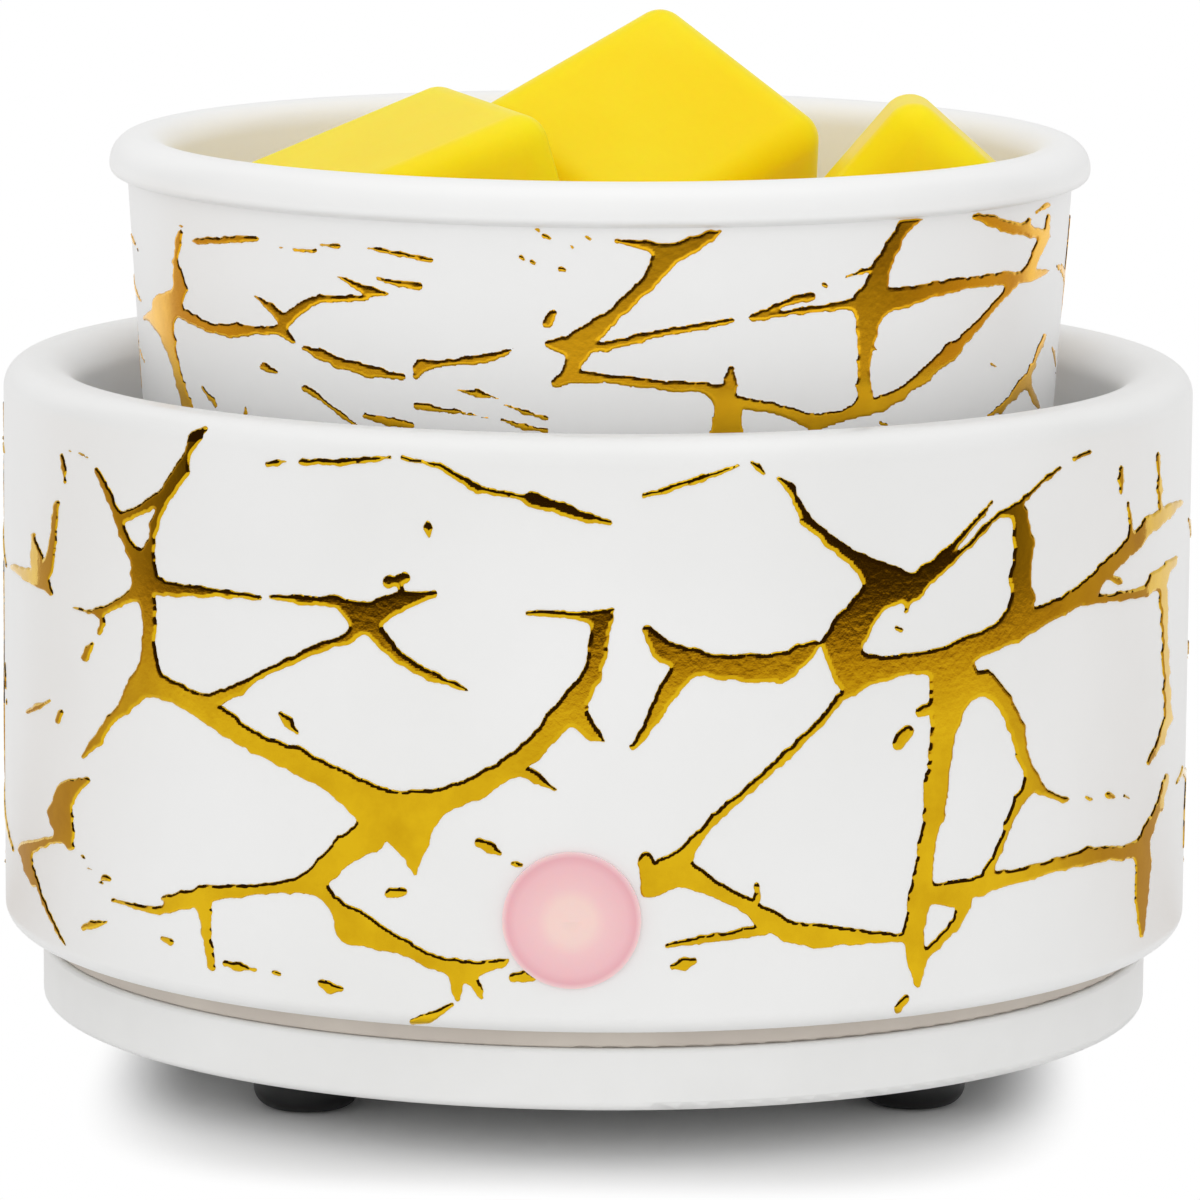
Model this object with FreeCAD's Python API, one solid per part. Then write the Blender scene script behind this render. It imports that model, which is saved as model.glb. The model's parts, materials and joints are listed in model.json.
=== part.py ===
import FreeCAD, Part
import math
import os
from FreeCAD import Rotation, Vector

# Wax warmer pot. Millimetres. The origin is on the table under the middle of the pot,
# +Z is up and the front, with the indicator lamp, faces -Y.

# Ceramic body: a straight drum with a well in the top and an open skirt below
BODY_RADIUS = 65.0
BODY_TOP = 76.0
BODY_BOTTOM = 14.4
BODY_FOOT_ROUND = 2.0
RIM_WIDTH = 8.3
RIM_OUTER_ROUND = 2.9
RIM_INNER_ROUND = 4.0
SKIRT_WALL = 6.5
LEDGE_WIDTH = 9.0
LEDGE_THICKNESS = 6.0

# Hot plate in the bottom of the well
PLATE_TOP = 63.5
PLATE_THICKNESS = 3.0
PLATE_SIDE_GAP = 0.8
PLATE_SEAL = 1.0
RING_HEIGHT = 6.0
RING_WALL = 2.5
RING_GAP = 0.6
STUD_CIRCLE = 38.0
STUD_COUNT = 3
STUD_TURN = 90.0
STUD_BOSS_RADIUS = 4.5
STUD_BOSS_HEIGHT = 12.0
STUD_RADIUS = 1.5
STUD_LENGTH = 9.0
SCREW_RADIUS = 1.5
SCREW_HOLE_GAP = 0.08

# Heater, its clamp and the thermal cutoff under the plate
HEATER_LENGTH = 44.0
HEATER_WIDTH = 24.0
HEATER_HEIGHT = 5.0
TAB_LENGTH = 5.0
TAB_WIDTH = 4.0
TAB_THICKNESS = 0.8
TAB_OFFSET = 6.0
MICA_MARGIN = 1.0
MICA_THICKNESS = 0.5
CLAMP_SPAN = 64.0
CLAMP_WIDTH = 14.0
CLAMP_SHEET = 1.2
CLAMP_BOSS_HEIGHT = 4.0
CLAMP_BOSS_RADIUS = 4.0
CLAMP_FOOT = 9.0
CUTOFF_RADIUS = 2.0
CUTOFF_LENGTH = 12.0
CUTOFF_Y = 20.0
CUTOFF_SCREW_Y = 28.0
CLIP_SHEET = 0.8
CLIP_WIDTH = 7.0

# Heat shield clamped between the plate bosses and the standoffs
SHIELD_RADIUS = 46.0
SHIELD_SHEET = 0.8
SHIELD_LIP = 4.0
SHIELD_WIRE_HOLE = 6.0
SHIELD_WIRE_X = 22.0
SHIELD_WIRE_Y = 18.0

# Base pan, which is also the plinth that shows below the body
FOOT_HEIGHT = 5.5
PLINTH_SET_IN = 4.3
PAN_TOP = 12.1
PAN_FLOOR = 2.5
PAN_WALL = 2.8
PAN_ROUND = 1.0
PAN_EDGE = 0.5
SPIGOT_GAP = 0.5
SPIGOT_WALL = 2.2
SPIGOT_RISE = 4.0
NECK_RECESS = 0.6
SEAL_GAP = 0.2
PAN_BOSS_RADIUS = 5.6
PAN_BOSS_TOP = 13.5
SCREW_HEAD_RADIUS = 2.9
SCREW_HEAD_HEIGHT = 2.2
SCREW_SINK = 3.4
SCREW_GRIP = 9.0
VENT_COUNT = 10
VENT_CIRCLE = 20.0
VENT_LENGTH = 9.0
VENT_WIDTH = 2.6
STANDOFF_FLATS = 7.0

# Rubber feet
FOOT_RADIUS = 5.7
FOOT_ROUND = 2.2
FOOT_CIRCLE = 45.7
FOOT_TURN = 5.3
FOOT_STEM_RADIUS = 2.5
FOOT_BARB_RADIUS = 3.4
FOOT_BARB_HEIGHT = 1.8
FOOT_STEM_GAP = 0.05

# Indicator lamp in the front wall
LENS_HEIGHT = 26.5
LENS_RADIUS = 7.1
LENS_GAP = 0.25
LENS_RISE = 1.0
LENS_SHOULDER = 0.7
LENS_SEAT_DEPTH = 6.0
LENS_SEAT_RADIUS = 10.2
LENS_SEAL = 0.8
LENS_FLANGE_RADIUS = 9.6
LENS_FLANGE = 1.6
LENS_TAIL_RADIUS = 6.0
LENS_TAIL = 4.0
LENS_CAVITY_RADIUS = 4.4
LENS_WALL = 3.4
LED_RADIUS = 2.5
LED_FLANGE_RADIUS = 2.9
LED_LENGTH = 8.6
BOARD_SET_BACK = 9.0
BOARD_WIDTH = 14.0
BOARD_HEIGHT = 14.0
BOARD_THICKNESS = 1.6
BRACKET_SHEET = 1.2
BRACKET_WIDTH = 17.4
BRACKET_FOOT = 14.0
BRACKET_SCREW_IN = 10.0

# Terminal block and cord gland at the back
BLOCK_X = 16.0
BLOCK_Y = 22.0
BLOCK_LENGTH = 22.0
BLOCK_WIDTH = 15.0
BLOCK_HEIGHT = 11.0
BLOCK_PAD = 3.0
POLE_PITCH = 8.0
POLE_RADIUS = 2.4
GLAND_Z = 9.0
GLAND_SLOT_WIDTH = 5.8
GLAND_SLOT_HEIGHT = 3.6
GLAND_WALL = 1.2
GLAND_FLANGE = 1.0
GLAND_FLANGE_THICKNESS = 1.6
GLAND_GAP = 0.1
WIRE_RADIUS = 1.0
WIRE_BEND = 5.0
LEAD_ENTRY = 4.0
LEAD_APART = 2.0
LEAD_STRAIGHT = 10.0
LEAD_DROP_Z = 37.5
LAMP_LEAD_X = 4.0
LAMP_LEAD_RISE = 4.0
LAMP_LEAD_IN = 20.0

# Ceramic wax dish that stands on the plate and lifts out
DISH_BOTTOM_RADIUS = 49.2
DISH_BOTTOM_ROUND = 3.5
DISH_CREASE_RADIUS = 51.5
DISH_CREASE_Z = 96.0
DISH_RIM_RADIUS = 53.3
DISH_RIM_DROP = 4.1
DISH_RIM_ROUND = 3.0
DISH_LIP_ROUND = 3.2
DISH_RIM_UNDER = 1.0
DISH_TOP = 100.6
DISH_MOUTH_RADIUS = 46.8
DISH_WALL = 4.6
DISH_FLOOR = 6.0
DISH_FLOOR_ROUND = 7.0

# Wax melts: moulded blocks with drafted sides and rounded edges
MELT_TOP = 28.4
MELT_BASE = 27.2
MELT_HEIGHT = 28.0
MELT_ROUND = 3.2
MELT_GAP = 0.4
BROKEN_SHARE = 0.58
# Places of the melts' middles, over the dish's inner floor, and their turns
MELT_LEFT_PLACE = Vector(-19.3, -7.2, 18.0)
MELT_LEFT_TURN = (25.2, -19.8, 2.8)
MELT_CENTRE_PLACE = Vector(5.1, 13.0, 22.0)
MELT_CENTRE_TURN = (-41.5, 26.6, 26.9)
MELT_RIGHT_PLACE = Vector(34.8, -10.8, 17.8)
MELT_RIGHT_TURN = (2.0, 41.5, 0.0)

# Sizes that follow from the ones above
WELL_RADIUS = BODY_RADIUS - RIM_WIDTH
SKIRT_RADIUS = BODY_RADIUS - SKIRT_WALL
LEDGE_RADIUS = WELL_RADIUS - LEDGE_WIDTH
PLATE_UNDER = PLATE_TOP - PLATE_THICKNESS
LEDGE_TOP = PLATE_UNDER - PLATE_SEAL
LEDGE_UNDER = LEDGE_TOP - LEDGE_THICKNESS
BOSS_END = PLATE_UNDER - STUD_BOSS_HEIGHT
SHIELD_UNDER = BOSS_END - SHIELD_SHEET
SPIGOT_RADIUS = SKIRT_RADIUS - SPIGOT_GAP
PAN_RADIUS = BODY_RADIUS - PLINTH_SET_IN
PAN_FLOOR_TOP = FOOT_HEIGHT + PAN_FLOOR
SCREW_HOLE = SCREW_RADIUS + SCREW_HOLE_GAP
LENS_SEAT = BODY_RADIUS - LENS_SEAT_DEPTH
FLANGE_FRONT = LENS_SEAT - LENS_SEAL
FLANGE_BACK = FLANGE_FRONT - LENS_FLANGE
BOARD_FRONT = LENS_SEAT - BOARD_SET_BACK
BRACKET_SCREW_Y = BOARD_FRONT - BRACKET_SCREW_IN
UP = Vector(0, 0, 1)
TO_BACK = Vector(0, 1, 0)


def outline(corners, plane):
    """Closed wire through corners (a, b, round), each corner rounded by its own radius."""
    points = []
    for a, b, radius in corners:
        points.append((plane(a, b), radius))
    edges = []
    ends = []
    for i in range(len(points)):
        here, radius = points[i]
        before = (points[i - 1][0] - here).normalize()
        after = (points[(i + 1) % len(points)][0] - here).normalize()
        if radius <= 0:
            ends.append((here, None, here))
            continue
        half = before.getAngle(after) / 2
        reach = radius / math.tan(half)
        middle = (before + after).normalize() * (radius / math.sin(half) - radius)
        ends.append((here + before * reach, here + middle, here + after * reach))
    for i in range(len(ends)):
        start, middle, stop = ends[i]
        if middle is not None:
            edges.append(Part.Arc(start, middle, stop).toShape())
        following = ends[(i + 1) % len(ends)][0]
        if (following - stop).Length > 1e-6:
            edges.append(Part.LineSegment(stop, following).toShape())
    return Part.Wire(edges)


def side(a, b):
    return Vector(a, 0, b)


def flat(a, b):
    return Vector(a, b, 0)


def depth(a, b):
    return Vector(0, a, b)


def turned(corners):
    """Solid of revolution about Z from a radius and height outline."""
    face = Part.Face(outline(corners, side))
    return face.revolve(Vector(0, 0, 0), UP, 360)


def slab(corners, plane, along):
    """Outline pulled out along a vector."""
    return Part.Face(outline(corners, plane)).extrude(along)


def rod(radius, length, base, axis=UP):
    return Part.makeCylinder(radius, length, base, axis)


def tube(outer, inner, length, base, axis=UP):
    return rod(outer, length, base, axis).cut(rod(inner, length, base, axis))


def block(width, length, height, round_by, base):
    """Upright block with rounded vertical edges, centred on its base point."""
    x, y = width / 2, length / 2
    corners = [(-x, -y, round_by), (x, -y, round_by), (x, y, round_by), (-x, y, round_by)]
    solid = slab(corners, flat, UP * height)
    solid.translate(base)
    return solid


def spots(count, radius, first):
    """Evenly spaced points on a circle."""
    points = []
    for i in range(count):
        angle = math.radians(first + 360.0 * i / count)
        points.append(Vector(radius * math.cos(angle), radius * math.sin(angle), 0))
    return points


def screw(base, length, axis):
    """Pan head screw: base is under the head, axis points along the shank."""
    away = Vector(axis).normalize()
    head = rod(SCREW_HEAD_RADIUS, SCREW_HEAD_HEIGHT, base - away * SCREW_HEAD_HEIGHT, away)
    rim = [e for e in head.Edges if abs((e.CenterOfMass - base).dot(away) + SCREW_HEAD_HEIGHT) < 1e-6]
    head = head.makeFillet(SCREW_HEAD_HEIGHT * 0.4, rim)
    slot = Part.makeBox(0.7, SCREW_HEAD_RADIUS * 4, 0.9, Vector(-0.35, -SCREW_HEAD_RADIUS * 2, -0.01))
    slot.Placement = FreeCAD.Placement(base - away * SCREW_HEAD_HEIGHT, Rotation(UP, away)).multiply(
        slot.Placement)
    return head.cut(slot).fuse(rod(SCREW_RADIUS, length, base, away)).removeSplitter()


def wire(points):
    """Round lead through points, with bends between the straight runs."""
    edges = []
    start = points[0]
    for i in range(1, len(points) - 1):
        here = points[i]
        before = (points[i - 1] - here).normalize()
        after = (points[i + 1] - here).normalize()
        half = before.getAngle(after) / 2
        reach = WIRE_BEND / math.tan(half)
        middle = (before + after).normalize() * (WIRE_BEND / math.sin(half) - WIRE_BEND)
        edges.append(Part.LineSegment(start, here + before * reach).toShape())
        arc = Part.Arc(here + before * reach, here + middle, here + after * reach)
        edges.append(arc.toShape())
        start = here + after * reach
    edges.append(Part.LineSegment(start, points[-1]).toShape())
    path = Part.Wire(edges)
    section = Part.Wire(Part.makeCircle(WIRE_RADIUS, points[0], points[1] - points[0]))
    return path.makePipeShell([section], True, False)


def melt(share):
    """Moulded wax block centred on the origin, wider at the top; share 1 is a whole one."""
    ends = []
    for x, z in ((MELT_BASE / 2, -MELT_HEIGHT / 2), (MELT_TOP / 2, MELT_HEIGHT / 2)):
        y = x * share
        ring = [Vector(-x, -y, z), Vector(x, -y, z), Vector(x, y, z), Vector(-x, y, z)]
        ends.append(Part.makePolygon(ring + ring[:1]))
    solid = Part.makeLoft(ends, True, True)
    return solid.makeFillet(MELT_ROUND, solid.Edges)


def posed(solid, centre, yaw, pitch, roll):
    moved = solid.copy()
    moved.Placement = FreeCAD.Placement(centre, Rotation(yaw, pitch, roll))
    return moved


nodes = {}

# Ceramic body: rim, well wall, ledge for the plate and skirt in one revolved outline
body = turned([
    (SKIRT_RADIUS, BODY_BOTTOM, 0.6),
    (BODY_RADIUS, BODY_BOTTOM, BODY_FOOT_ROUND),
    (BODY_RADIUS, BODY_TOP, RIM_OUTER_ROUND),
    (WELL_RADIUS, BODY_TOP, RIM_INNER_ROUND),
    (WELL_RADIUS, LEDGE_TOP, 0),
    (LEDGE_RADIUS, LEDGE_TOP, 1.0),
    (LEDGE_RADIUS, LEDGE_UNDER, 1.0),
    (SKIRT_RADIUS, LEDGE_UNDER, 2.5)])
lens_axis = Vector(0, -1, 0)
lens_centre = Vector(0, 0, LENS_HEIGHT)
behind = lens_centre + lens_axis * BOARD_FRONT
seat_cut = rod(LENS_SEAT_RADIUS, BOARD_SET_BACK, behind, lens_axis)
hole_cut = rod(LENS_RADIUS + LENS_GAP, BODY_RADIUS, behind, lens_axis)
nodes["ceramic_body"] = body.cut(seat_cut).cut(hole_cut)

# Plate seal and cast hot plate with its locating ring and screw bosses
plate_radius = WELL_RADIUS - PLATE_SIDE_GAP
ring_radius = LEDGE_RADIUS - RING_GAP
nodes["plate_seal"] = turned([
    (LEDGE_RADIUS + 1.5, LEDGE_TOP, 0),
    (plate_radius - 0.5, LEDGE_TOP, 0),
    (plate_radius - 0.5, PLATE_UNDER, 0),
    (LEDGE_RADIUS + 1.5, PLATE_UNDER, 0)])
plate = turned([
    (0, PLATE_UNDER, 0),
    (ring_radius - RING_WALL, PLATE_UNDER, 0),
    (ring_radius - RING_WALL, PLATE_UNDER - RING_HEIGHT, 0.5),
    (ring_radius, PLATE_UNDER - RING_HEIGHT, 0.5),
    (ring_radius, PLATE_UNDER, 0),
    (plate_radius, PLATE_UNDER, 0.6),
    (plate_radius, PLATE_TOP, 1.0),
    (0, PLATE_TOP, 0)])
studs = spots(STUD_COUNT, STUD_CIRCLE, STUD_TURN)
for spot in studs:
    plate = plate.fuse(rod(STUD_BOSS_RADIUS, STUD_BOSS_HEIGHT, spot + UP * BOSS_END))
clamp_spots = [Vector(-CLAMP_SPAN / 2, 0, 0), Vector(CLAMP_SPAN / 2, 0, 0)]
clamp_spots_z = PLATE_UNDER - CLAMP_BOSS_HEIGHT
for spot in clamp_spots:
    plate = plate.fuse(rod(CLAMP_BOSS_RADIUS, CLAMP_BOSS_HEIGHT, spot + UP * clamp_spots_z))
for spot in studs:
    plate = plate.cut(rod(STUD_RADIUS + SCREW_HOLE_GAP, STUD_LENGTH + 1, spot + UP * BOSS_END))
for spot in clamp_spots:
    plate = plate.cut(rod(SCREW_HOLE, CLAMP_BOSS_HEIGHT + 1, spot + UP * clamp_spots_z))
cutoff_spot = Vector(0, -CUTOFF_SCREW_Y, 0)
cutoff_boss_z = PLATE_UNDER - CUTOFF_RADIUS
plate = plate.fuse(rod(CLAMP_BOSS_RADIUS, CUTOFF_RADIUS, cutoff_spot + UP * cutoff_boss_z))
plate = plate.cut(rod(SCREW_HOLE, CUTOFF_RADIUS + 1.5, cutoff_spot + UP * cutoff_boss_z))
nodes["hot_plate"] = plate.removeSplitter()

# Flat heater against the plate, mica sheet and sheet-metal clamp under it
heater_z = PLATE_UNDER - HEATER_HEIGHT
heater = block(HEATER_LENGTH, HEATER_WIDTH, HEATER_HEIGHT, 2.0, UP * heater_z)
tab_z = heater_z + HEATER_HEIGHT / 2
for sign in (-1, 1):
    tab = Part.makeBox(TAB_WIDTH, TAB_LENGTH + 1, TAB_THICKNESS)
    tab.translate(Vector(sign * TAB_OFFSET - TAB_WIDTH / 2, HEATER_WIDTH / 2 - 1, tab_z - TAB_THICKNESS / 2))
    heater = heater.fuse(tab)
nodes["ptc_heater"] = heater
mica_z = heater_z - MICA_THICKNESS
nodes["mica_sheet"] = block(
    HEATER_LENGTH + MICA_MARGIN, HEATER_WIDTH + MICA_MARGIN, MICA_THICKNESS, 1.5, UP * mica_z)
foot_top = clamp_spots_z
strap_top = mica_z
half_span = CLAMP_SPAN / 2
knee = half_span - CLAMP_FOOT / 2
inner = HEATER_LENGTH / 2 + MICA_MARGIN
end = half_span + CLAMP_FOOT / 2
strap_low = strap_top - CLAMP_SHEET
foot_low = foot_top - CLAMP_SHEET
strap = slab([
    (-end, foot_top, 0), (-knee, foot_top, 0.4), (-inner, strap_top, 0.4),
    (inner, strap_top, 0.4), (knee, foot_top, 0.4), (end, foot_top, 0),
    (end, foot_low, 0), (knee, foot_low, 0.4), (inner, strap_low, 0.4),
    (-inner, strap_low, 0.4), (-knee, foot_low, 0.4), (-end, foot_low, 0)],
    side, TO_BACK * CLAMP_WIDTH)
strap.translate(Vector(0, -CLAMP_WIDTH / 2, 0))
clamp_screws = []
for spot in clamp_spots:
    strap = strap.cut(rod(SCREW_HOLE, 10, spot + UP * (foot_low - 3)))
    clamp_screws.append(screw(spot + UP * foot_low, CLAMP_BOSS_HEIGHT + CLAMP_SHEET, UP))
nodes["heater_clamp"] = strap
nodes["clamp_screws"] = Part.makeCompound(clamp_screws)

# Thermal cutoff lying against the plate under a small saddle clip
cutoff_z = PLATE_UNDER - CUTOFF_RADIUS
cutoff = rod(CUTOFF_RADIUS, CUTOFF_LENGTH, Vector(-CUTOFF_LENGTH / 2, -CUTOFF_Y, cutoff_z), Vector(1, 0, 0))
nodes["thermal_cutoff"] = cutoff.makeFillet(0.5, [e for e in cutoff.Edges if len(e.Vertexes) == 1])
saddle_low = cutoff_z - CUTOFF_RADIUS - CLIP_SHEET
clip = slab([
    (-CUTOFF_Y + CUTOFF_RADIUS + CLIP_SHEET, cutoff_z + 1.0, 0),
    (-CUTOFF_Y + CUTOFF_RADIUS + CLIP_SHEET, saddle_low, 2.4),
    (-CUTOFF_Y - CUTOFF_RADIUS - CLIP_SHEET, saddle_low, 2.4),
    (-CUTOFF_Y - CUTOFF_RADIUS - CLIP_SHEET, cutoff_boss_z - CLIP_SHEET, 0),
    (-CUTOFF_SCREW_Y - 4, cutoff_boss_z - CLIP_SHEET, 0),
    (-CUTOFF_SCREW_Y - 4, cutoff_boss_z, 0),
    (-CUTOFF_Y - CUTOFF_RADIUS, cutoff_boss_z, 0),
    (-CUTOFF_Y - CUTOFF_RADIUS, saddle_low + CLIP_SHEET, 1.8),
    (-CUTOFF_Y + CUTOFF_RADIUS, saddle_low + CLIP_SHEET, 1.8),
    (-CUTOFF_Y + CUTOFF_RADIUS, cutoff_z + 1.0, 0)],
    depth, Vector(CLIP_WIDTH, 0, 0))
clip.translate(Vector(-CLIP_WIDTH / 2, 0, 0))
clip = clip.cut(cutoff).cut(rod(SCREW_HOLE, 6, cutoff_spot + UP * (cutoff_boss_z - 3)))
nodes["cutoff_clip"] = clip
nodes["cutoff_screw"] = screw(
    cutoff_spot + UP * (cutoff_boss_z - CLIP_SHEET), CUTOFF_RADIUS + CLIP_SHEET + 1.0, UP)

# Heat shield: shallow pressed tray, with holes for the studs and the leads
shield = turned([
    (0, SHIELD_UNDER, 0),
    (SHIELD_RADIUS - SHIELD_SHEET, SHIELD_UNDER, 1.0),
    (SHIELD_RADIUS - SHIELD_SHEET, SHIELD_UNDER - SHIELD_LIP, 0),
    (SHIELD_RADIUS, SHIELD_UNDER - SHIELD_LIP, 0),
    (SHIELD_RADIUS, BOSS_END, 1.8),
    (0, BOSS_END, 0)])
for spot in studs:
    shield = shield.cut(rod(STUD_RADIUS + SCREW_HOLE_GAP, 4, spot + UP * (SHIELD_UNDER - 1)))
wire_hole = Vector(SHIELD_WIRE_X, SHIELD_WIRE_Y, SHIELD_UNDER - 1)
nodes["heat_shield"] = shield.cut(rod(SHIELD_WIRE_HOLE, 4, wire_hole))

# Hexagonal standoffs from the shield down to the pan, and the screws from below
standoffs = []
pan_screws = []
hex_radius = STANDOFF_FLATS / math.sqrt(3)
standoff_length = SHIELD_UNDER - PAN_BOSS_TOP
shank = PAN_BOSS_TOP - FOOT_HEIGHT - SCREW_SINK + SCREW_GRIP
for spot in studs:
    ring = [spot + corner for corner in spots(6, hex_radius, 0)]
    post = Part.Face(Part.makePolygon(ring + ring[:1])).extrude(UP * standoff_length)
    post.translate(UP * PAN_BOSS_TOP)
    post = post.fuse(rod(STUD_RADIUS, STUD_LENGTH, spot + UP * SHIELD_UNDER))
    post = post.cut(rod(SCREW_HOLE, SCREW_GRIP + 3, spot + UP * PAN_BOSS_TOP))
    standoffs.append(post.removeSplitter())
    pan_screws.append(screw(spot + UP * (FOOT_HEIGHT + SCREW_SINK), shank, UP))
nodes["standoffs"] = Part.makeCompound(standoffs)
nodes["pan_screws"] = Part.makeCompound(pan_screws)

# Seal between body and pan, which shows as the recessed neck
nodes["base_seal"] = turned([
    (SPIGOT_RADIUS + SEAL_GAP, PAN_TOP, 0),
    (PAN_RADIUS - NECK_RECESS, PAN_TOP, 0.3),
    (PAN_RADIUS - NECK_RECESS, BODY_BOTTOM, 0.3),
    (SPIGOT_RADIUS + SEAL_GAP, BODY_BOTTOM, 0)])

# Base pan: floor, plinth wall, spigot into the skirt, bosses, vents and the gland notch
pan = turned([
    (0, FOOT_HEIGHT, 0),
    (PAN_RADIUS, FOOT_HEIGHT, PAN_ROUND),
    (PAN_RADIUS, PAN_TOP, PAN_EDGE),
    (SPIGOT_RADIUS, PAN_TOP, 0),
    (SPIGOT_RADIUS, PAN_TOP + SPIGOT_RISE, 0.6),
    (SPIGOT_RADIUS - SPIGOT_WALL, PAN_TOP + SPIGOT_RISE, 0.6),
    (SPIGOT_RADIUS - SPIGOT_WALL, PAN_FLOOR_TOP, 1.5),
    (0, PAN_FLOOR_TOP, 0)])
boss_height = PAN_BOSS_TOP - FOOT_HEIGHT
bracket_spot = Vector(0, -BRACKET_SCREW_Y, 0)
block_spot = Vector(BLOCK_X, BLOCK_Y, 0)
for spot in studs + [bracket_spot]:
    pan = pan.fuse(rod(PAN_BOSS_RADIUS, boss_height, spot + UP * FOOT_HEIGHT))
pan = pan.fuse(rod(PAN_BOSS_RADIUS, BLOCK_PAD, block_spot + UP * PAN_FLOOR_TOP))
for spot in studs:
    pan = pan.cut(rod(SCREW_HOLE, boss_height, spot + UP * FOOT_HEIGHT))
    pan = pan.cut(rod(SCREW_HEAD_RADIUS + 0.3, SCREW_SINK, spot + UP * FOOT_HEIGHT))
pan = pan.cut(rod(SCREW_HOLE, 6.5, bracket_spot + UP * (PAN_BOSS_TOP - 6.5)))
pan = pan.cut(rod(SCREW_HOLE, BLOCK_PAD + 1.2, block_spot + UP * (PAN_FLOOR_TOP - 1.2)))
feet = spots(4, FOOT_CIRCLE, 45.0 + FOOT_TURN)
for spot in feet:
    pan = pan.cut(rod(FOOT_STEM_RADIUS + FOOT_STEM_GAP, PAN_FLOOR + 2, spot + UP * (FOOT_HEIGHT - 1)))
for spot in spots(VENT_COUNT, VENT_CIRCLE, 360.0 / VENT_COUNT / 2):
    clear = min((spot - block_spot).Length, (spot - bracket_spot).Length)
    if clear < PAN_BOSS_RADIUS + VENT_LENGTH / 2:
        continue
    x, y = VENT_LENGTH / 2, VENT_WIDTH / 2
    r = y - 0.01
    vent = slab([(-x, -y, r), (x, -y, r), (x, y, r), (-x, y, r)], flat, UP * 6)
    vent.rotate(Vector(0, 0, 0), UP, math.degrees(math.atan2(spot.y, spot.x)))
    vent.translate(spot + UP * (FOOT_HEIGHT - 1))
    pan = pan.cut(vent)


def gland_loop(grow, base_y, length):
    """Flat-sided loop round the cord slot, grown by one amount all round."""
    x = GLAND_SLOT_WIDTH / 2 + grow
    z = GLAND_SLOT_HEIGHT / 2 + grow
    r = z - 0.01
    loop = slab([(-x, -z, r), (x, -z, r), (x, z, r), (-x, z, r)], side, TO_BACK * length)
    loop.translate(Vector(0, base_y, GLAND_Z))
    return loop


gland_inside = SPIGOT_RADIUS - SPIGOT_WALL - 1.0
notch_start = gland_inside - SPIGOT_WALL
notch_length = PAN_RADIUS - notch_start + SPIGOT_WALL
notch = gland_loop(GLAND_WALL + GLAND_GAP, notch_start, notch_length)
notch_width = GLAND_SLOT_WIDTH + 2 * (GLAND_WALL + GLAND_GAP)
above = Part.makeBox(notch_width, notch_length, 3 * SPIGOT_RISE)
above.translate(Vector(-notch_width / 2, notch_start, GLAND_Z))
notch = notch.fuse(above)
nodes["base_pan"] = pan.cut(notch).removeSplitter()

# Cord gland: sleeve with a flange on each side of the pan wall and a slot for a flat cord
gland_end = PAN_RADIUS + 0.1 + GLAND_FLANGE_THICKNESS
gland_start = gland_inside - GLAND_FLANGE_THICKNESS - 0.6
gland = gland_loop(GLAND_WALL, gland_start, gland_end - gland_start)
outer_flange = gland_loop(GLAND_WALL + GLAND_FLANGE, PAN_RADIUS + 0.1, GLAND_FLANGE_THICKNESS)
inner_flange = gland_loop(GLAND_WALL + GLAND_FLANGE, gland_start, GLAND_FLANGE_THICKNESS)
gland = gland.fuse(outer_flange).fuse(inner_flange)
below = Part.makeBox(2 * notch_width, GLAND_FLANGE_THICKNESS, PAN_FLOOR_TOP)
below.translate(Vector(-notch_width, gland_start, 0))
gland = gland.cut(inner_flange.common(below)).cut(gland_loop(0, gland_start, gland_end - gland_start))
nodes["cord_gland"] = gland.removeSplitter()

# Rubber feet, each with a stem and barb through the pan floor
foot = turned([
    (0, 0, 0),
    (FOOT_RADIUS, 0, FOOT_ROUND),
    (FOOT_RADIUS, FOOT_HEIGHT, 0.5),
    (FOOT_STEM_RADIUS, FOOT_HEIGHT, 0),
    (FOOT_STEM_RADIUS, PAN_FLOOR_TOP + 0.1, 0),
    (FOOT_BARB_RADIUS, PAN_FLOOR_TOP + 0.1, 0.3),
    (FOOT_STEM_RADIUS, PAN_FLOOR_TOP + FOOT_BARB_HEIGHT, 0.5),
    (0, PAN_FLOOR_TOP + FOOT_BARB_HEIGHT, 0)])
for spot in feet:
    name = "foot_" + ("front" if spot.y < 0 else "back") + ("_left" if spot.x < 0 else "_right")
    placed = foot.copy()
    placed.translate(spot)
    nodes[name] = placed

# Indicator lens with a domed front, a flange inside the wall and a hollow tail
shoulder = math.sqrt(BODY_RADIUS ** 2 - LENS_RADIUS ** 2) + LENS_SHOULDER
crown = BODY_RADIUS + LENS_RISE
dome_rise = crown - shoulder
dome_radius = (LENS_RADIUS ** 2 + dome_rise ** 2) / (2 * dome_rise)
dome_angle = math.asin(LENS_RADIUS / dome_radius) / 2
dome_mid = Vector(dome_radius * math.sin(dome_angle), 0, crown - dome_radius * (1 - math.cos(dome_angle)))
cavity_top = crown - LENS_WALL
lens_run = [
    Vector(LENS_RADIUS, 0, shoulder), Vector(LENS_RADIUS, 0, FLANGE_FRONT),
    Vector(LENS_FLANGE_RADIUS, 0, FLANGE_FRONT), Vector(LENS_FLANGE_RADIUS, 0, FLANGE_BACK),
    Vector(LENS_TAIL_RADIUS, 0, FLANGE_BACK), Vector(LENS_TAIL_RADIUS, 0, FLANGE_BACK - LENS_TAIL),
    Vector(LENS_CAVITY_RADIUS, 0, FLANGE_BACK - LENS_TAIL), Vector(LENS_CAVITY_RADIUS, 0, cavity_top),
    Vector(0, 0, cavity_top), Vector(0, 0, crown)]
lens_edges = [Part.Arc(Vector(0, 0, crown), dome_mid, lens_run[0]).toShape()]
for start, stop in zip(lens_run, lens_run[1:]):
    lens_edges.append(Part.LineSegment(start, stop).toShape())
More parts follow.
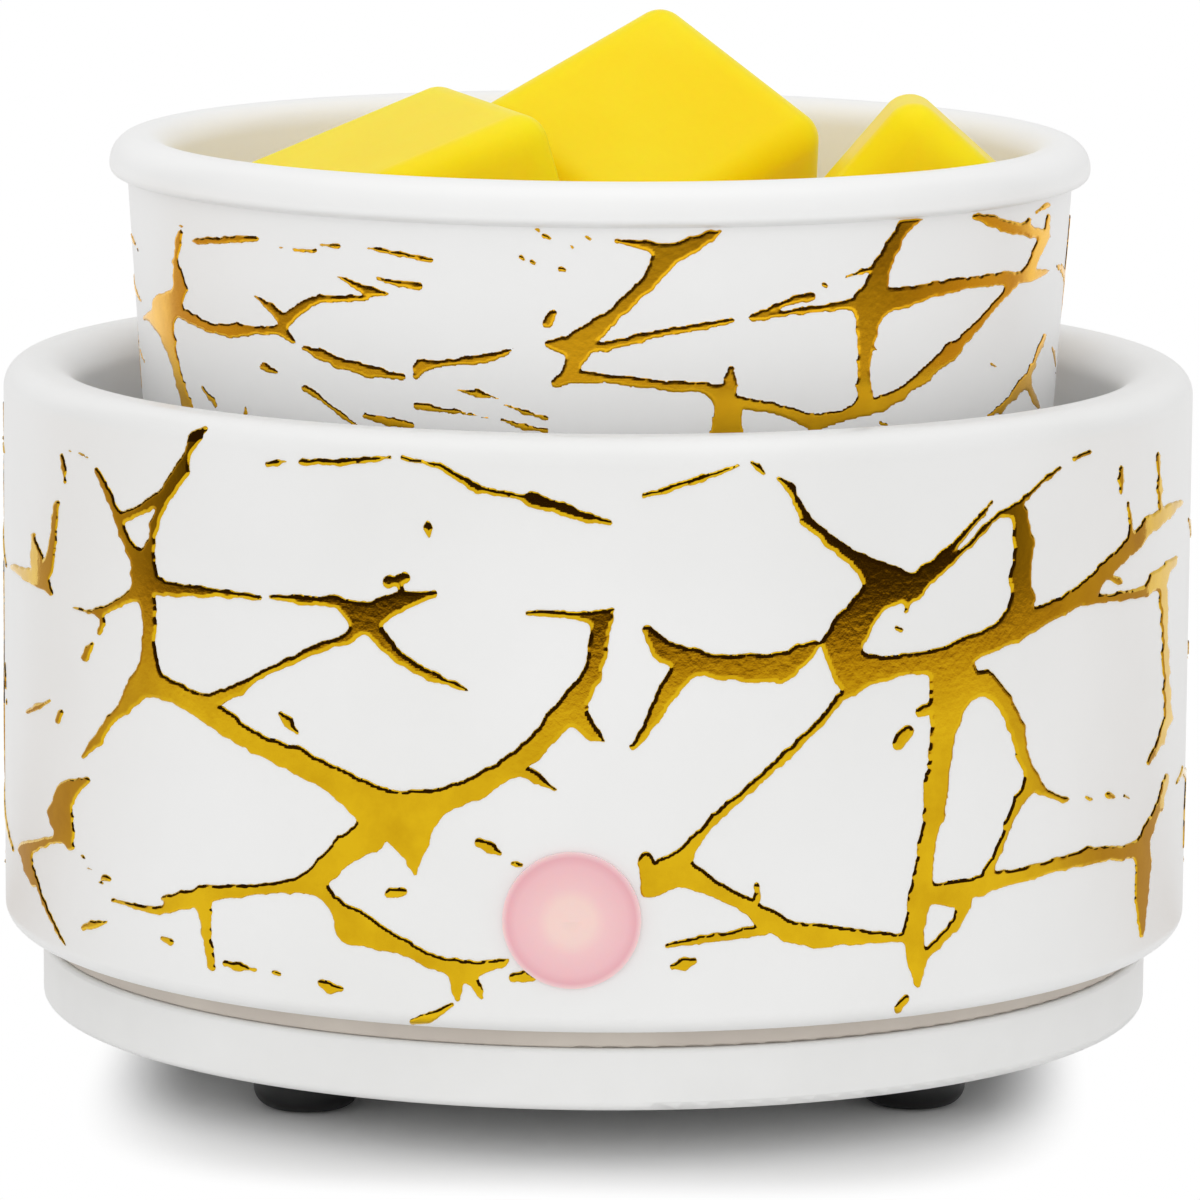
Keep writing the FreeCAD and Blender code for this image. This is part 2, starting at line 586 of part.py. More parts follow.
lens = Part.Face(Part.Wire(lens_edges)).revolve(Vector(0, 0, 0), UP, 360)
to_front = FreeCAD.Placement(lens_centre, Rotation(UP, lens_axis))
lens.Placement = to_front
nodes["indicator_lens"] = lens
nodes["lens_seal"] = tube(
    LENS_FLANGE_RADIUS, LENS_RADIUS + LENS_GAP, LENS_SEAL, lens_centre + lens_axis * FLANGE_FRONT, lens_axis)

# Lamp: diode on a small board, held by a bent bracket that presses the lens to the wall
led = turned([
    (0, 0, 0), (LED_FLANGE_RADIUS, 0, 0), (LED_FLANGE_RADIUS, 1.0, 0), (LED_RADIUS, 1.0, 0),
    (LED_RADIUS, LED_LENGTH, LED_RADIUS - 0.05), (0, LED_LENGTH, 0)])
led.Placement = FreeCAD.Placement(lens_centre + lens_axis * BOARD_FRONT, Rotation(UP, lens_axis))
nodes["lamp_diode"] = led
board = Part.makeBox(BOARD_WIDTH, BOARD_THICKNESS, BOARD_HEIGHT)
board.translate(Vector(-BOARD_WIDTH / 2, -BOARD_FRONT, LENS_HEIGHT - BOARD_HEIGHT / 2))
resistor = rod(1.1, 6.0, Vector(-3.0, -BOARD_FRONT - 0.8, LENS_HEIGHT - 5.2), Vector(1, 0, 0))
nodes["lamp_board"] = board.fuse(resistor)
board_back = BOARD_FRONT - BOARD_THICKNESS
upright_top = LENS_HEIGHT + BOARD_HEIGHT / 2
upright = Part.makeBox(BRACKET_WIDTH, BRACKET_SHEET, upright_top - PAN_BOSS_TOP)
upright.translate(Vector(-BRACKET_WIDTH / 2, -board_back, PAN_BOSS_TOP))
toe = Part.makeBox(BRACKET_WIDTH, BRACKET_FOOT, BRACKET_SHEET)
toe.translate(Vector(-BRACKET_WIDTH / 2, -board_back, PAN_BOSS_TOP))
bracket = upright.fuse(toe)
for sign in (-1, 1):
    ear = Part.makeBox(BRACKET_SHEET, FLANGE_BACK - board_back, 9)
    left = -BRACKET_WIDTH / 2 if sign < 0 else BRACKET_WIDTH / 2 - BRACKET_SHEET
    ear.translate(Vector(left, -FLANGE_BACK, LENS_HEIGHT - 4.5))
    bracket = bracket.fuse(ear)
bracket = bracket.cut(rod(SCREW_HOLE, 6, bracket_spot + UP * (PAN_BOSS_TOP - 1)))
nodes["lamp_bracket"] = bracket.removeSplitter()
nodes["bracket_screw"] = screw(bracket_spot + UP * (PAN_BOSS_TOP + BRACKET_SHEET), 7.0, Vector(0, 0, -1))

# Two-pole terminal block on its pad
block_z = PAN_FLOOR_TOP + BLOCK_PAD
terminal = block(BLOCK_LENGTH, BLOCK_WIDTH, BLOCK_HEIGHT, 1.0, block_spot + UP * block_z)
poles = []
for sign in (-1, 1):
    poles.append(block_spot + Vector(sign * POLE_PITCH, 0, 0))
for spot in poles:
    terminal = terminal.cut(rod(POLE_RADIUS, 3, spot + UP * (block_z + BLOCK_HEIGHT - 3)))
terminal = terminal.cut(rod(SCREW_HOLE, BLOCK_HEIGHT, block_spot + UP * block_z))
terminal = terminal.cut(rod(SCREW_HEAD_RADIUS + 0.2, 3.5, block_spot + UP * (block_z + BLOCK_HEIGHT - 3.5)))
nodes["terminal_block"] = terminal
nodes["terminal_screw"] = screw(
    block_spot + UP * (block_z + BLOCK_HEIGHT - 3.5), BLOCK_HEIGHT - 3.5 + BLOCK_PAD + 1.0, Vector(0, 0, -1))

# Leads: heater tabs down through the shield to the block, and lamp board to the block
entry_z = block_z + LEAD_ENTRY
tab_end = HEATER_WIDTH / 2 + TAB_LENGTH
heater_leads = []
lamp_leads = []
block_front = BLOCK_Y - BLOCK_WIDTH / 2
lead_start = -board_back + BRACKET_SHEET
lamp_lead_z = LENS_HEIGHT + LAMP_LEAD_RISE
for sign, pole in zip((-1, 1), poles):
    drop_x = SHIELD_WIRE_X + sign * LEAD_APART
    drop_y = SHIELD_WIRE_Y - sign * LEAD_APART
    heater_leads.append(wire([
        Vector(sign * TAB_OFFSET, tab_end, tab_z),
        Vector(sign * TAB_OFFSET, tab_end + LEAD_STRAIGHT, tab_z),
        Vector(drop_x, drop_y, tab_z - LEAD_APART),
        Vector(drop_x, drop_y, LEAD_DROP_Z),
        Vector(pole.x + LEAD_APART, block_front - LEAD_STRAIGHT, entry_z),
        Vector(pole.x + LEAD_APART, block_front, entry_z)]))
    lamp_leads.append(wire([
        Vector(sign * LAMP_LEAD_X, lead_start, lamp_lead_z),
        Vector(sign * LAMP_LEAD_X, lead_start + LEAD_STRAIGHT, lamp_lead_z),
        Vector(pole.x - LEAD_APART, block_front - LAMP_LEAD_IN, entry_z),
        Vector(pole.x - LEAD_APART, block_front, entry_z)]))
nodes["heater_leads"] = Part.makeCompound(heater_leads)
nodes["lamp_leads"] = Part.makeCompound(lamp_leads)

# Wax dish: tapered wall, rolled rim with a crease under it, flat bottom on the plate
nodes["wax_dish"] = turned([
    (0, PLATE_TOP, 0),
    (DISH_BOTTOM_RADIUS, PLATE_TOP, DISH_BOTTOM_ROUND),
    (DISH_CREASE_RADIUS, DISH_CREASE_Z, 0),
    (DISH_RIM_RADIUS, DISH_TOP - DISH_RIM_DROP, DISH_RIM_UNDER),
    (DISH_RIM_RADIUS, DISH_TOP, DISH_RIM_ROUND),
    (DISH_MOUTH_RADIUS, DISH_TOP, DISH_LIP_ROUND),
    (DISH_BOTTOM_RADIUS - DISH_WALL, PLATE_TOP + DISH_FLOOR, DISH_FLOOR_ROUND),
    (0, PLATE_TOP + DISH_FLOOR, 0)])

# Wax melts: two whole blocks leaning together and a broken one at the right
dish_inside = PLATE_TOP + DISH_FLOOR
melt_base = UP * dish_inside
nodes["wax_melt_left"] = posed(melt(1), MELT_LEFT_PLACE + melt_base, *MELT_LEFT_TURN)
nodes["wax_melt_centre"] = posed(melt(1), MELT_CENTRE_PLACE + melt_base, *MELT_CENTRE_TURN)
half_melt = posed(melt(BROKEN_SHARE), MELT_RIGHT_PLACE + melt_base, *MELT_RIGHT_TURN)
room = turned([
    (0, dish_inside + MELT_GAP, 0),
    (DISH_BOTTOM_RADIUS - DISH_WALL - MELT_GAP, dish_inside + MELT_GAP, DISH_FLOOR_ROUND),
    (DISH_MOUTH_RADIUS - MELT_GAP, DISH_TOP, 0),
    (DISH_MOUTH_RADIUS - MELT_GAP, DISH_TOP + 2 * MELT_HEIGHT, 0),
    (0, DISH_TOP + 2 * MELT_HEIGHT, 0)])
nodes["wax_melt_right"] = half_melt.common(room)

os.makedirs("parts", exist_ok=True)
for name, shape in nodes.items():
    shape.exportStep("parts/" + name + ".step")
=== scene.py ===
"""Looks of the ceramic wax warmer pot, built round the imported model.

Lengths are metres in the model's own frame: origin on the table under the middle of the pot,
+Z up, -Y to the front. Veins are drawn as strokes in photo pixels and laid on the walls.
"""

import json
import math

import bpy
import numpy as np
from mathutils import Matrix, Vector, noise


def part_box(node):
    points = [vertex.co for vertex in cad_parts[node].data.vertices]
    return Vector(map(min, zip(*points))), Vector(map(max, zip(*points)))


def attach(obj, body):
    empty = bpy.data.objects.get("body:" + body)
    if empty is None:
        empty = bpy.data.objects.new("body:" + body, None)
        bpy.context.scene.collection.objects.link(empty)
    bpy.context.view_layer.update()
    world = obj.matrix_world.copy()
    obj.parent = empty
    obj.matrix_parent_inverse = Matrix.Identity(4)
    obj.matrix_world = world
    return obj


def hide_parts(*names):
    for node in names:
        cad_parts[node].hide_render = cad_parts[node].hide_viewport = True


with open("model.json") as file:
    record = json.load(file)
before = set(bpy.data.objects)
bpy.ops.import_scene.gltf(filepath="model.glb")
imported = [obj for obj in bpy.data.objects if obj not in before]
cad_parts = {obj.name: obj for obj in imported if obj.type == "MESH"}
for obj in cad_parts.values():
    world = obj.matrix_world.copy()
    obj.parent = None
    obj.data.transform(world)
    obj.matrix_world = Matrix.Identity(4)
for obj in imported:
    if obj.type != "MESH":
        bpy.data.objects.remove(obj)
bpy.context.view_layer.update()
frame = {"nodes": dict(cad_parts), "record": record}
MM = 0.001

# Camera, fitted to the photo
CAMERA_DISTANCE = 0.8406
CAMERA_HEIGHT = 0.1840
CAMERA_PITCH = math.radians(9.11)
CAMERA_ROLL = 0.008
CAMERA_AZIMUTH = math.radians(2.0)
PHOTO_SIDE = 1200
FOCAL_PX = 7750.0
CENTRE_PX = (596.5, 600.0)
SENSOR = 36.0

# Main sizes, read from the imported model, and the radius of the lens in front of its flange
body_low, body_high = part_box("ceramic_body")
dish_low, dish_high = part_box("wax_dish")
lens_low, lens_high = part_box("indicator_lens")
BODY_R = body_high[0]
BODY_BOTTOM = body_low[2]
BODY_TOP = body_high[2]
DISH_TOP = dish_high[2]
DISH_BOTTOM = dish_low[2]
DISH_R = dish_high[0]
LENS_Z = (lens_low[2] + lens_high[2]) / 2
LENS_R = 7.1 * MM

# Gold foil: its thickness, and how deep its underside lies in the wall
FOIL = 0.15 * MM
FOIL_ROOT = 0.1 * MM


def camera_matrix():
    """Camera to world, from the fitted distance, height, pitch, roll and azimuth."""
    where = Vector((math.sin(CAMERA_AZIMUTH), -math.cos(CAMERA_AZIMUTH), 0)) * CAMERA_DISTANCE
    where.z = CAMERA_HEIGHT
    turn = Matrix.Rotation(CAMERA_AZIMUTH, 4, "Z")
    turn = turn @ Matrix.Rotation(math.pi / 2 - CAMERA_PITCH, 4, "X")
    turn = turn @ Matrix.Rotation(CAMERA_ROLL, 4, "Z")
    return Matrix.Translation(where) @ turn


def add_camera():
    """Camera at the photo's place, framed as the photo is."""
    data = bpy.data.cameras.new("photo_camera")
    data.sensor_width = SENSOR
    data.lens = SENSOR * FOCAL_PX / PHOTO_SIDE
    data.shift_x = (PHOTO_SIDE / 2 - CENTRE_PX[0]) / PHOTO_SIDE
    data.shift_y = (CENTRE_PX[1] - PHOTO_SIDE / 2) / PHOTO_SIDE
    data.clip_end = 50.0
    camera = bpy.data.objects.new("photo_camera", data)
    camera.matrix_world = camera_matrix()
    bpy.context.scene.collection.objects.link(camera)
    bpy.context.scene.camera = camera


# Materials


def material(name):
    """New material with a Principled shader; returns the material, its tree and the shader."""
    made = bpy.data.materials.new(name)
    made.use_nodes = True
    tree = made.node_tree
    return made, tree, tree.nodes["Principled BSDF"]


def object_noise(tree, scale, detail=4.0, roughness=0.5):
    """Noise texture on object coordinates."""
    place = tree.nodes.new("ShaderNodeTexCoord")
    texture = tree.nodes.new("ShaderNodeTexNoise")
    texture.inputs["Scale"].default_value = scale
    texture.inputs["Detail"].default_value = detail
    texture.inputs["Roughness"].default_value = roughness
    tree.links.new(place.outputs["Object"], texture.inputs["Vector"])
    return texture


def ramp(tree, source, stops):
    """Colour ramp with (position, colour) stops fed by a socket."""
    node = tree.nodes.new("ShaderNodeValToRGB")
    while len(node.color_ramp.elements) < len(stops):
        node.color_ramp.elements.new(0.5)
    for element, (position, colour) in zip(node.color_ramp.elements, stops):
        element.position = position
        element.color = (*colour, 1.0)
    tree.links.new(source, node.inputs["Fac"])
    return node


def bump(tree, shader, source, strength, distance):
    """Fine relief on a shader from a height socket."""
    node = tree.nodes.new("ShaderNodeBump")
    node.inputs["Strength"].default_value = strength
    node.inputs["Distance"].default_value = distance
    tree.links.new(source, node.inputs["Height"])
    tree.links.new(node.outputs["Normal"], shader.inputs["Normal"])


def mottled(name, dark, light, roughness, scale, metallic=0.0, grain=0.0, grain_scale=900.0):
    """Plain procedural finish: a soft mottle between two tones, with an optional fine grain."""
    made, tree, shader = material(name)
    texture = object_noise(tree, scale)
    tones = ramp(tree, texture.outputs["Fac"], [(0.3, dark), (0.7, light)])
    tree.links.new(tones.outputs["Color"], shader.inputs["Base Color"])
    shader.inputs["Roughness"].default_value = roughness
    shader.inputs["Metallic"].default_value = metallic
    if grain:
        fine = object_noise(tree, grain_scale, 2.0)
        bump(tree, shader, fine.outputs["Fac"], grain, 0.1 * MM)
    return made


def gold_foil(name, dark, light, roughness):
    """Crinkled gold foil."""
    made, tree, shader = material(name)
    patches = object_noise(tree, 160.0, 6.0, 0.6)
    tones = ramp(tree, patches.outputs["Fac"], [(0.32, dark), (0.62, light)])
    tree.links.new(tones.outputs["Color"], shader.inputs["Base Color"])
    shader.inputs["Metallic"].default_value = 1.0
    shader.inputs["Roughness"].default_value = roughness
    crinkle = object_noise(tree, 1300.0, 3.0, 0.55)
    bump(tree, shader, crinkle.outputs["Fac"], 0.05, 0.15 * MM)
    return made


def wax():
    """Yellow wax, faintly clouded and letting light through."""
    made, tree, shader = material("yellow_wax")
    cloud = object_noise(tree, 45.0, 3.0)
    stops = [(0.3, (0.99, 0.685, 0.006)), (0.7, (1.0, 0.745, 0.016))]
    tones = ramp(tree, cloud.outputs["Fac"], stops)
    tree.links.new(tones.outputs["Color"], shader.inputs["Base Color"])
    shader.inputs["Roughness"].default_value = 0.36
    shader.inputs["Specular IOR Level"].default_value = 0.06
    shader.inputs["Coat Weight"].default_value = 0.05
    shader.inputs["Coat Roughness"].default_value = 0.2
    shader.inputs["Subsurface Weight"].default_value = 0.75
    shader.inputs["Subsurface Radius"].default_value = (1.0, 0.65, 0.06)
    shader.inputs["Subsurface Scale"].default_value = 9 * MM
    fine = object_noise(tree, 260.0, 3.0)
    bump(tree, shader, fine.outputs["Fac"], 0.12, 0.25 * MM)
    return made


def lamp_lens():
    """Pink lens, lighter and warmer over the lit diode in its middle."""
    made, tree, shader = material("pink_lens")
    place = tree.nodes.new("ShaderNodeTexCoord")
    apart = tree.nodes.new("ShaderNodeVectorMath")
    apart.operation = "MULTIPLY"
    apart.inputs[1].default_value = (1.0, 0.0, 1.0)
    reach = tree.nodes.new("ShaderNodeVectorMath")
    reach.operation = "DISTANCE"
    reach.inputs[1].default_value = (0.0, 0.0, LENS_Z)
    scaled = tree.nodes.new("ShaderNodeMath")
    scaled.operation = "DIVIDE"
    scaled.inputs[1].default_value = LENS_R
    tree.links.new(place.outputs["Object"], apart.inputs[0])
    tree.links.new(apart.outputs["Vector"], reach.inputs[0])
    tree.links.new(reach.outputs["Value"], scaled.inputs[0])
    stops = [(0.0, (0.89, 0.65, 0.60)), (0.32, (0.89, 0.64, 0.59)), (0.50, (0.87, 0.55, 0.56)),
             (0.80, (0.85, 0.50, 0.53)), (0.92, (0.80, 0.42, 0.46)), (1.0, (0.88, 0.62, 0.63))]
    tones = ramp(tree, scaled.outputs["Value"], stops)
    tree.links.new(tones.outputs["Color"], shader.inputs["Base Color"])
    tree.links.new(tones.outputs["Color"], shader.inputs["Emission Color"])
    shader.inputs["Emission Strength"].default_value = 0.05
    shader.inputs["Roughness"].default_value = 0.3
    shader.inputs["Subsurface Weight"].default_value = 0.3
    shader.inputs["Subsurface Scale"].default_value = 2 * MM
    return made


# Mesh helpers

TURNED_SEGMENTS = 256
TURNED_SHARP = math.radians(40)
FOIL_SHARP = math.radians(50)
NODE_SHARP = math.radians(28)
PLINTH_SHARP = math.radians(12)
ARC_STEP = math.radians(6)
ON_AXIS = 1e-7


def add_mesh(name, points, faces, finish, sharp=None):
    """Mesh object with one material; smooth below the sharp angle, or flat without one."""
    data = bpy.data.meshes.new(name)
    data.from_pydata([tuple(p) for p in points], [], faces)
    data.validate()
    data.materials.append(finish)
    made = bpy.data.objects.new(name, data)
    bpy.context.scene.collection.objects.link(made)
    if sharp is not None:
        data.shade_smooth()
        data.set_sharp_from_angle(angle=sharp)
    return made


def rounded(corners):
    """Open outline through corners (r, z, round) in metres, with arcs at the rounded corners."""
    points = []
    for i, (r, z, radius) in enumerate(corners):
        here = Vector((r, z))
        if radius <= 0 or i in (0, len(corners) - 1):
            points.append(here)
            continue
        before = (Vector(corners[i - 1][:2]) - here).normalized()
        after = (Vector(corners[i + 1][:2]) - here).normalized()
        half = before.angle(after) / 2
        centre = here + (before + after).normalized() * (radius / math.sin(half))
        start = here + before * (radius / math.tan(half)) - centre
        sweep = math.pi - 2 * half
        if before.cross(after) > 0:
            sweep = -sweep
        count = max(3, int(abs(sweep) / ARC_STEP) + 1)
        for k in range(count + 1):
            a = sweep * k / count
            turned = Vector((start.x * math.cos(a) - start.y * math.sin(a),
                             start.x * math.sin(a) + start.y * math.cos(a)))
            points.append(centre + turned)
    return points


def lathe(name, outline, finish):
    """Outline of (r, z) turned round Z; a point on the axis closes to a single vertex."""
    points = []
    rows = []
    for r, z in outline:
        if r < ON_AXIS:
            rows.append([len(points)] * TURNED_SEGMENTS)
            points.append((0.0, 0.0, z))
            continue
        rows.append(list(range(len(points), len(points) + TURNED_SEGMENTS)))
        for k in range(TURNED_SEGMENTS):
            a = 2 * math.pi * k / TURNED_SEGMENTS
            points.append((r * math.cos(a), r * math.sin(a), z))
    faces = []
    for low, high in zip(rows, rows[1:]):
        for k in range(TURNED_SEGMENTS):
            n = (k + 1) % TURNED_SEGMENTS
            ring = [low[k], low[n], high[n], high[k]]
            face = list(dict.fromkeys(ring))
            if len(face) > 2:
                faces.append(face)
    return add_mesh(name, points, faces, finish, TURNED_SHARP)


# Gold veins, drawn as strokes of (x, y, width) in photo pixels

BODY_VEINS = {
    "left_trunk": [(205, 428, 5), (196, 437, 12), (188, 453, 7), (182, 470, 14), (171, 487, 15),
                   (161, 504, 10), (155, 525, 8), (151, 543, 8), (146, 560, 16), (143, 573, 26),
                   (149, 610, 15), (149, 645, 13), (148, 682, 28), (178, 694, 20), (203, 707, 25),
                   (227, 724, 23), (257, 744, 20), (296, 760, 25), (332, 778, 26), (383, 813, 48)],
    "left_arm": [(96, 469, 5), (108, 492, 6), (117, 515, 8), (123, 535, 8), (134, 554, 12),
                 (140, 568, 18)],
    "left_bridge": [(118, 520, 8), (130, 515, 10), (148, 506, 11), (165, 493, 13)],
    "right_arm": [(150, 585, 22), (175, 590, 14), (200, 592, 11), (230, 594, 8), (260, 598, 7)],
    "left_tip": [(142, 590, 18), (120, 602, 9), (100, 612, 9), (88, 612, 5), (73, 607, 3)],
    "left_tip_low": [(100, 612, 7), (103, 622, 5), (99, 634, 3)],
    "left_toe": [(140, 686, 28), (124, 708, 12), (111, 720, 9), (97, 740, 10), (83, 757, 5)],
    "dark_bar": [(270, 597, 5), (300, 599, 9), (337, 602, 11), (365, 618, 32), (400, 602, 19),
                 (434, 594, 7)],
    "dark_dot": [(389, 582, 13), (404, 578, 11)],
    "dark_dot_stem": [(400, 585, 5), (402, 594, 6)],
    "dark_speck": [(428, 520, 3), (428, 528, 7), (429, 537, 3)],
    "mid_speck": [(281, 714, 7), (288, 722, 9), (297, 733, 5)],
    "dark_left": [(363, 620, 20), (350, 637, 11), (314, 650, 9), (290, 661, 8), (262, 674, 7),
                  (240, 688, 12), (218, 698, 16)],
    "dark_right": [(372, 628, 18), (398, 657, 12), (430, 676, 11), (452, 684, 7), (467, 690, 3)],
    "top_dash_a": [(268, 464, 5), (278, 463, 6), (288, 461, 3)],
    "top_dash_b": [(303, 462, 7), (340, 462, 8), (375, 459, 6), (390, 457, 3)],
    "top_line": [(402, 458, 4), (440, 466, 6), (478, 489, 9), (503, 494, 5), (524, 497, 6),
                 (532, 499, 16), (560, 508, 13), (590, 518, 10), (610, 523, 5)],
    "seam_top": [(527, 613, 5), (560, 614, 6), (585, 617, 10), (602, 622, 20), (612, 610, 5)],
    "seam_drop": [(602, 620, 22), (598, 650, 20), (592, 675, 18), (574, 704, 27), (559, 719, 26),
                  (535, 747, 22), (510, 767, 22), (478, 787, 24), (440, 801, 26), (410, 808, 34),
                  (383, 813, 50)],
    "seam_hook": [(578, 716, 26), (592, 733, 15), (604, 741, 4)],
    "seam_spur": [(518, 768, 14), (535, 777, 11), (555, 790, 3)],
    "seam_notch": [(524, 763, 8), (536, 759, 5)],
    "hub_down": [(383, 813, 50), (368, 836, 34), (346, 849, 28), (328, 866, 24), (314, 881, 24),
                 (290, 887, 14), (265, 888, 11), (240, 891, 12), (209, 893, 16), (185, 900, 18),
                 (172, 906, 13), (159, 911, 7), (135, 906, 6), (113, 900, 4)],
    "hub_down_notch": [(183, 896, 10), (163, 898, 5)],
    "hub_drop": [(203, 895, 18), (206, 930, 10), (212, 967, 7)],
    "hub_low": [(316, 884, 20), (334, 903, 14), (354, 927, 37), (380, 938, 24), (405, 948, 15),
                (430, 961, 14), (455, 968, 18), (480, 968, 13), (500, 963, 10), (508, 960, 4)],
    "hub_low_toe": [(458, 975, 18), (457, 990, 10), (458, 999, 5)],
    "hub_low_heel": [(466, 972, 20), (477, 987, 10), (482, 998, 5)],
    "hub_dash": [(413, 1022, 6), (430, 1017, 10), (452, 1005, 4)],
    "hub_spur": [(396, 822, 44), (408, 843, 28), (413, 862, 12), (415, 873, 5)],
    "hub_shoulder": [(400, 818, 30), (432, 814, 18)],
    "hub_heel": [(424, 822, 24), (420, 844, 16), (416, 862, 8)],
    "edge_a": [(33, 535, 5), (36, 555, 11), (40, 575, 17), (51, 594, 4)],
    "edge_b": [(57, 503, 5), (53, 540, 6), (47, 572, 11)],
    "edge_c": [(14, 567, 7), (28, 575, 12), (42, 584, 10)],
    "edge_d": [(86, 781, 7), (67, 790, 20), (60, 812, 24), (65, 833, 20), (71, 846, 9)],
    "edge_d_link": [(60, 838, 10), (45, 842, 10), (26, 848, 14)],
    "edge_e": [(26, 850, 11), (29, 870, 9), (33, 885, 4)],
    "edge_f": [(33, 872, 5), (45, 905, 3), (57, 930, 3), (67, 948, 2)],
    "right_dash_a": [(644, 496, 5), (670, 488, 7), (703, 478, 7), (738, 466, 4)],
    "right_dash_b": [(752, 463, 4), (758, 467, 6), (764, 474, 3)],
    "right_crest": [(778, 478, 4), (790, 487, 8), (797, 502, 8), (805, 519, 10), (832, 543, 12),
                    (860, 563, 18), (888, 586, 44), (912, 588, 26), (928, 574, 20), (944, 558, 13),
                    (964, 535, 6), (982, 514, 6), (992, 502, 3)],
    "right_crest_low": [(930, 576, 16), (950, 561, 9), (970, 545, 6), (986, 527, 6),
                        (1000, 514, 7), (1013, 511, 12)],
    "right_crest_barb": [(910, 594, 12), (906, 611, 4)],
    "right_tail": [(1015, 508, 10), (1026, 498, 5), (1038, 486, 4)],
    "right_dash_c": [(1039, 484, 3), (1048, 477, 5), (1060, 468, 3)],
    "right_dash_d": [(1074, 459, 4), (1090, 452, 4)],
    "right_post": [(1019, 511, 16), (1024, 542, 20), (1020, 580, 20), (1023, 600, 24), (1013, 624, 26)],
    "crest_drop": [(880, 590, 32), (866, 608, 30), (850, 630, 40), (840, 645, 36), (852, 672, 42)],
    "seam_right": [(647, 630, 10), (662, 650, 22), (690, 661, 28), (720, 667, 24), (750, 668, 28),
                   (780, 668, 30), (800, 656, 22), (814, 646, 12)],
    "seam_right_drop": [(683, 670, 24), (669, 690, 20), (655, 714, 14), (643, 735, 10), (633, 747, 6)],
    "main_right": [(857, 671, 40), (885, 668, 24), (906, 664, 22), (940, 661, 26), (967, 650, 26),
                   (990, 640, 24), (1013, 628, 30), (1059, 607, 18), (1085, 593, 20), (1105, 571, 17),
                   (1130, 546, 15), (1151, 524, 15), (1170, 509, 11), (1180, 503, 5)],
    "right_edge_a": [(1085, 601, 9), (1120, 597, 9), (1147, 591, 10), (1158, 580, 18), (1170, 565, 9),
                     (1176, 557, 4)],
    "right_edge_b": [(1163, 588, 9), (1165, 649, 7), (1168, 718, 8), (1160, 742, 8), (1148, 763, 4)],
    "right_edge_c": [(1158, 452, 2), (1159, 480, 4), (1160, 507, 5)],
    "right_edge_d": [(1121, 467, 5), (1121, 480, 6), (1121, 494, 4)],
    "right_edge_e": [(1128, 502, 3), (1130, 520, 4), (1131, 536, 4)],
    "column": [(950, 668, 44), (952, 690, 44), (946, 718, 30), (940, 755, 22), (936, 783, 24),
               (934, 815, 20), (926, 846, 17), (922, 880, 20), (920, 900, 22), (913, 934, 20),
               (917, 962, 17), (918, 984, 8)],
    "column_blob": [(921, 712, 11), (931, 708, 11)],
    "column_right": [(955, 668, 36), (974, 684, 26), (984, 682, 24), (1003, 699, 18),
                     (1016, 725, 16), (1023, 755, 12), (1031, 777, 12), (1042, 791, 10),
                     (1064, 800, 6), (1072, 797, 3)],
    "column_link": [(1031, 784, 16), (1020, 800, 10), (1008, 825, 8), (999, 850, 6), (988, 872, 9)],
    "diagonal": [(852, 690, 14), (840, 697, 8), (818, 724, 8), (788, 754, 10), (750, 788, 9),
                 (714, 819, 9), (693, 843, 12), (677, 866, 28)],
    "seam_block": [(646, 860, 16), (650, 889, 18), (668, 873, 36)],
    "low_run": [(688, 875, 26), (720, 891, 15), (745, 904, 16), (765, 918, 22), (790, 932, 21),
                (815, 936, 25), (850, 936, 17), (875, 937, 11), (903, 938, 8)],
    "low_run_left": [(763, 929, 14), (730, 936, 9), (700, 940, 8), (667, 946, 4)],
    "low_run_nick": [(757, 885, 6), (757, 899, 8)],
    "low_right": [(926, 893, 18), (955, 890, 20), (979, 886, 20), (1005, 878, 15), (1032, 872, 14),
                  (1060, 864, 14), (1090, 855, 17), (1120, 853, 15), (1139, 849, 19), (1147, 832, 10),
                  (1158, 808, 8), (1167, 775, 5)],
    "low_right_toe": [(1142, 860, 18), (1142, 900, 12), (1142, 936, 5)],
    "column_loop": [(926, 896, 14), (950, 900, 12), (965, 903, 13), (954, 926, 10),
                    (937, 944, 9), (921, 957, 10)],
    "speck_a": [(28, 712, 5), (38, 707, 6), (49, 701, 4)],
    "speck_b": [(58, 721, 6), (61, 712, 5)],
    "speck_c": [(84, 658, 7), (88, 650, 6), (92, 644, 5)],
    "speck_d": [(62, 455, 4), (64, 468, 4), (65, 482, 3)],
    "speck_e": [(79, 453, 4), (88, 458, 3)],
    "speck_f": [(84, 928, 7), (92, 925, 9), (107, 922, 3)],
    "speck_g": [(162, 938, 5), (170, 942, 8)],
    "speck_h": [(225, 964, 6), (240, 967, 8), (255, 970, 4)],
    "speck_i": [(321, 982, 6), (331, 988, 10), (341, 989, 5)],
    "speck_j": [(390, 893, 11), (403, 892, 7)],
    "speck_k": [(480, 843, 9), (489, 847, 11), (500, 854, 5)],
    "speck_l": [(513, 864, 5), (521, 865, 6)],
    "speck_m": [(514, 978, 9), (525, 977, 12), (532, 978, 7)],
    "speck_n": [(908, 730, 13), (898, 744, 13)],
    "speck_o": [(673, 967, 8), (684, 964, 13), (693, 962, 8)],
    "speck_p": [(906, 998, 8), (898, 1009, 9)],
}
BODY_SPOTS = [(71, 452, 4), (90, 869, 5), (83, 857, 4), (107, 878, 7), (276, 973, 8), (899, 629, 7),
              (1116, 580, 9), (1088, 798, 6), (1111, 796, 7), (1127, 797, 5), (101, 883, 4)]
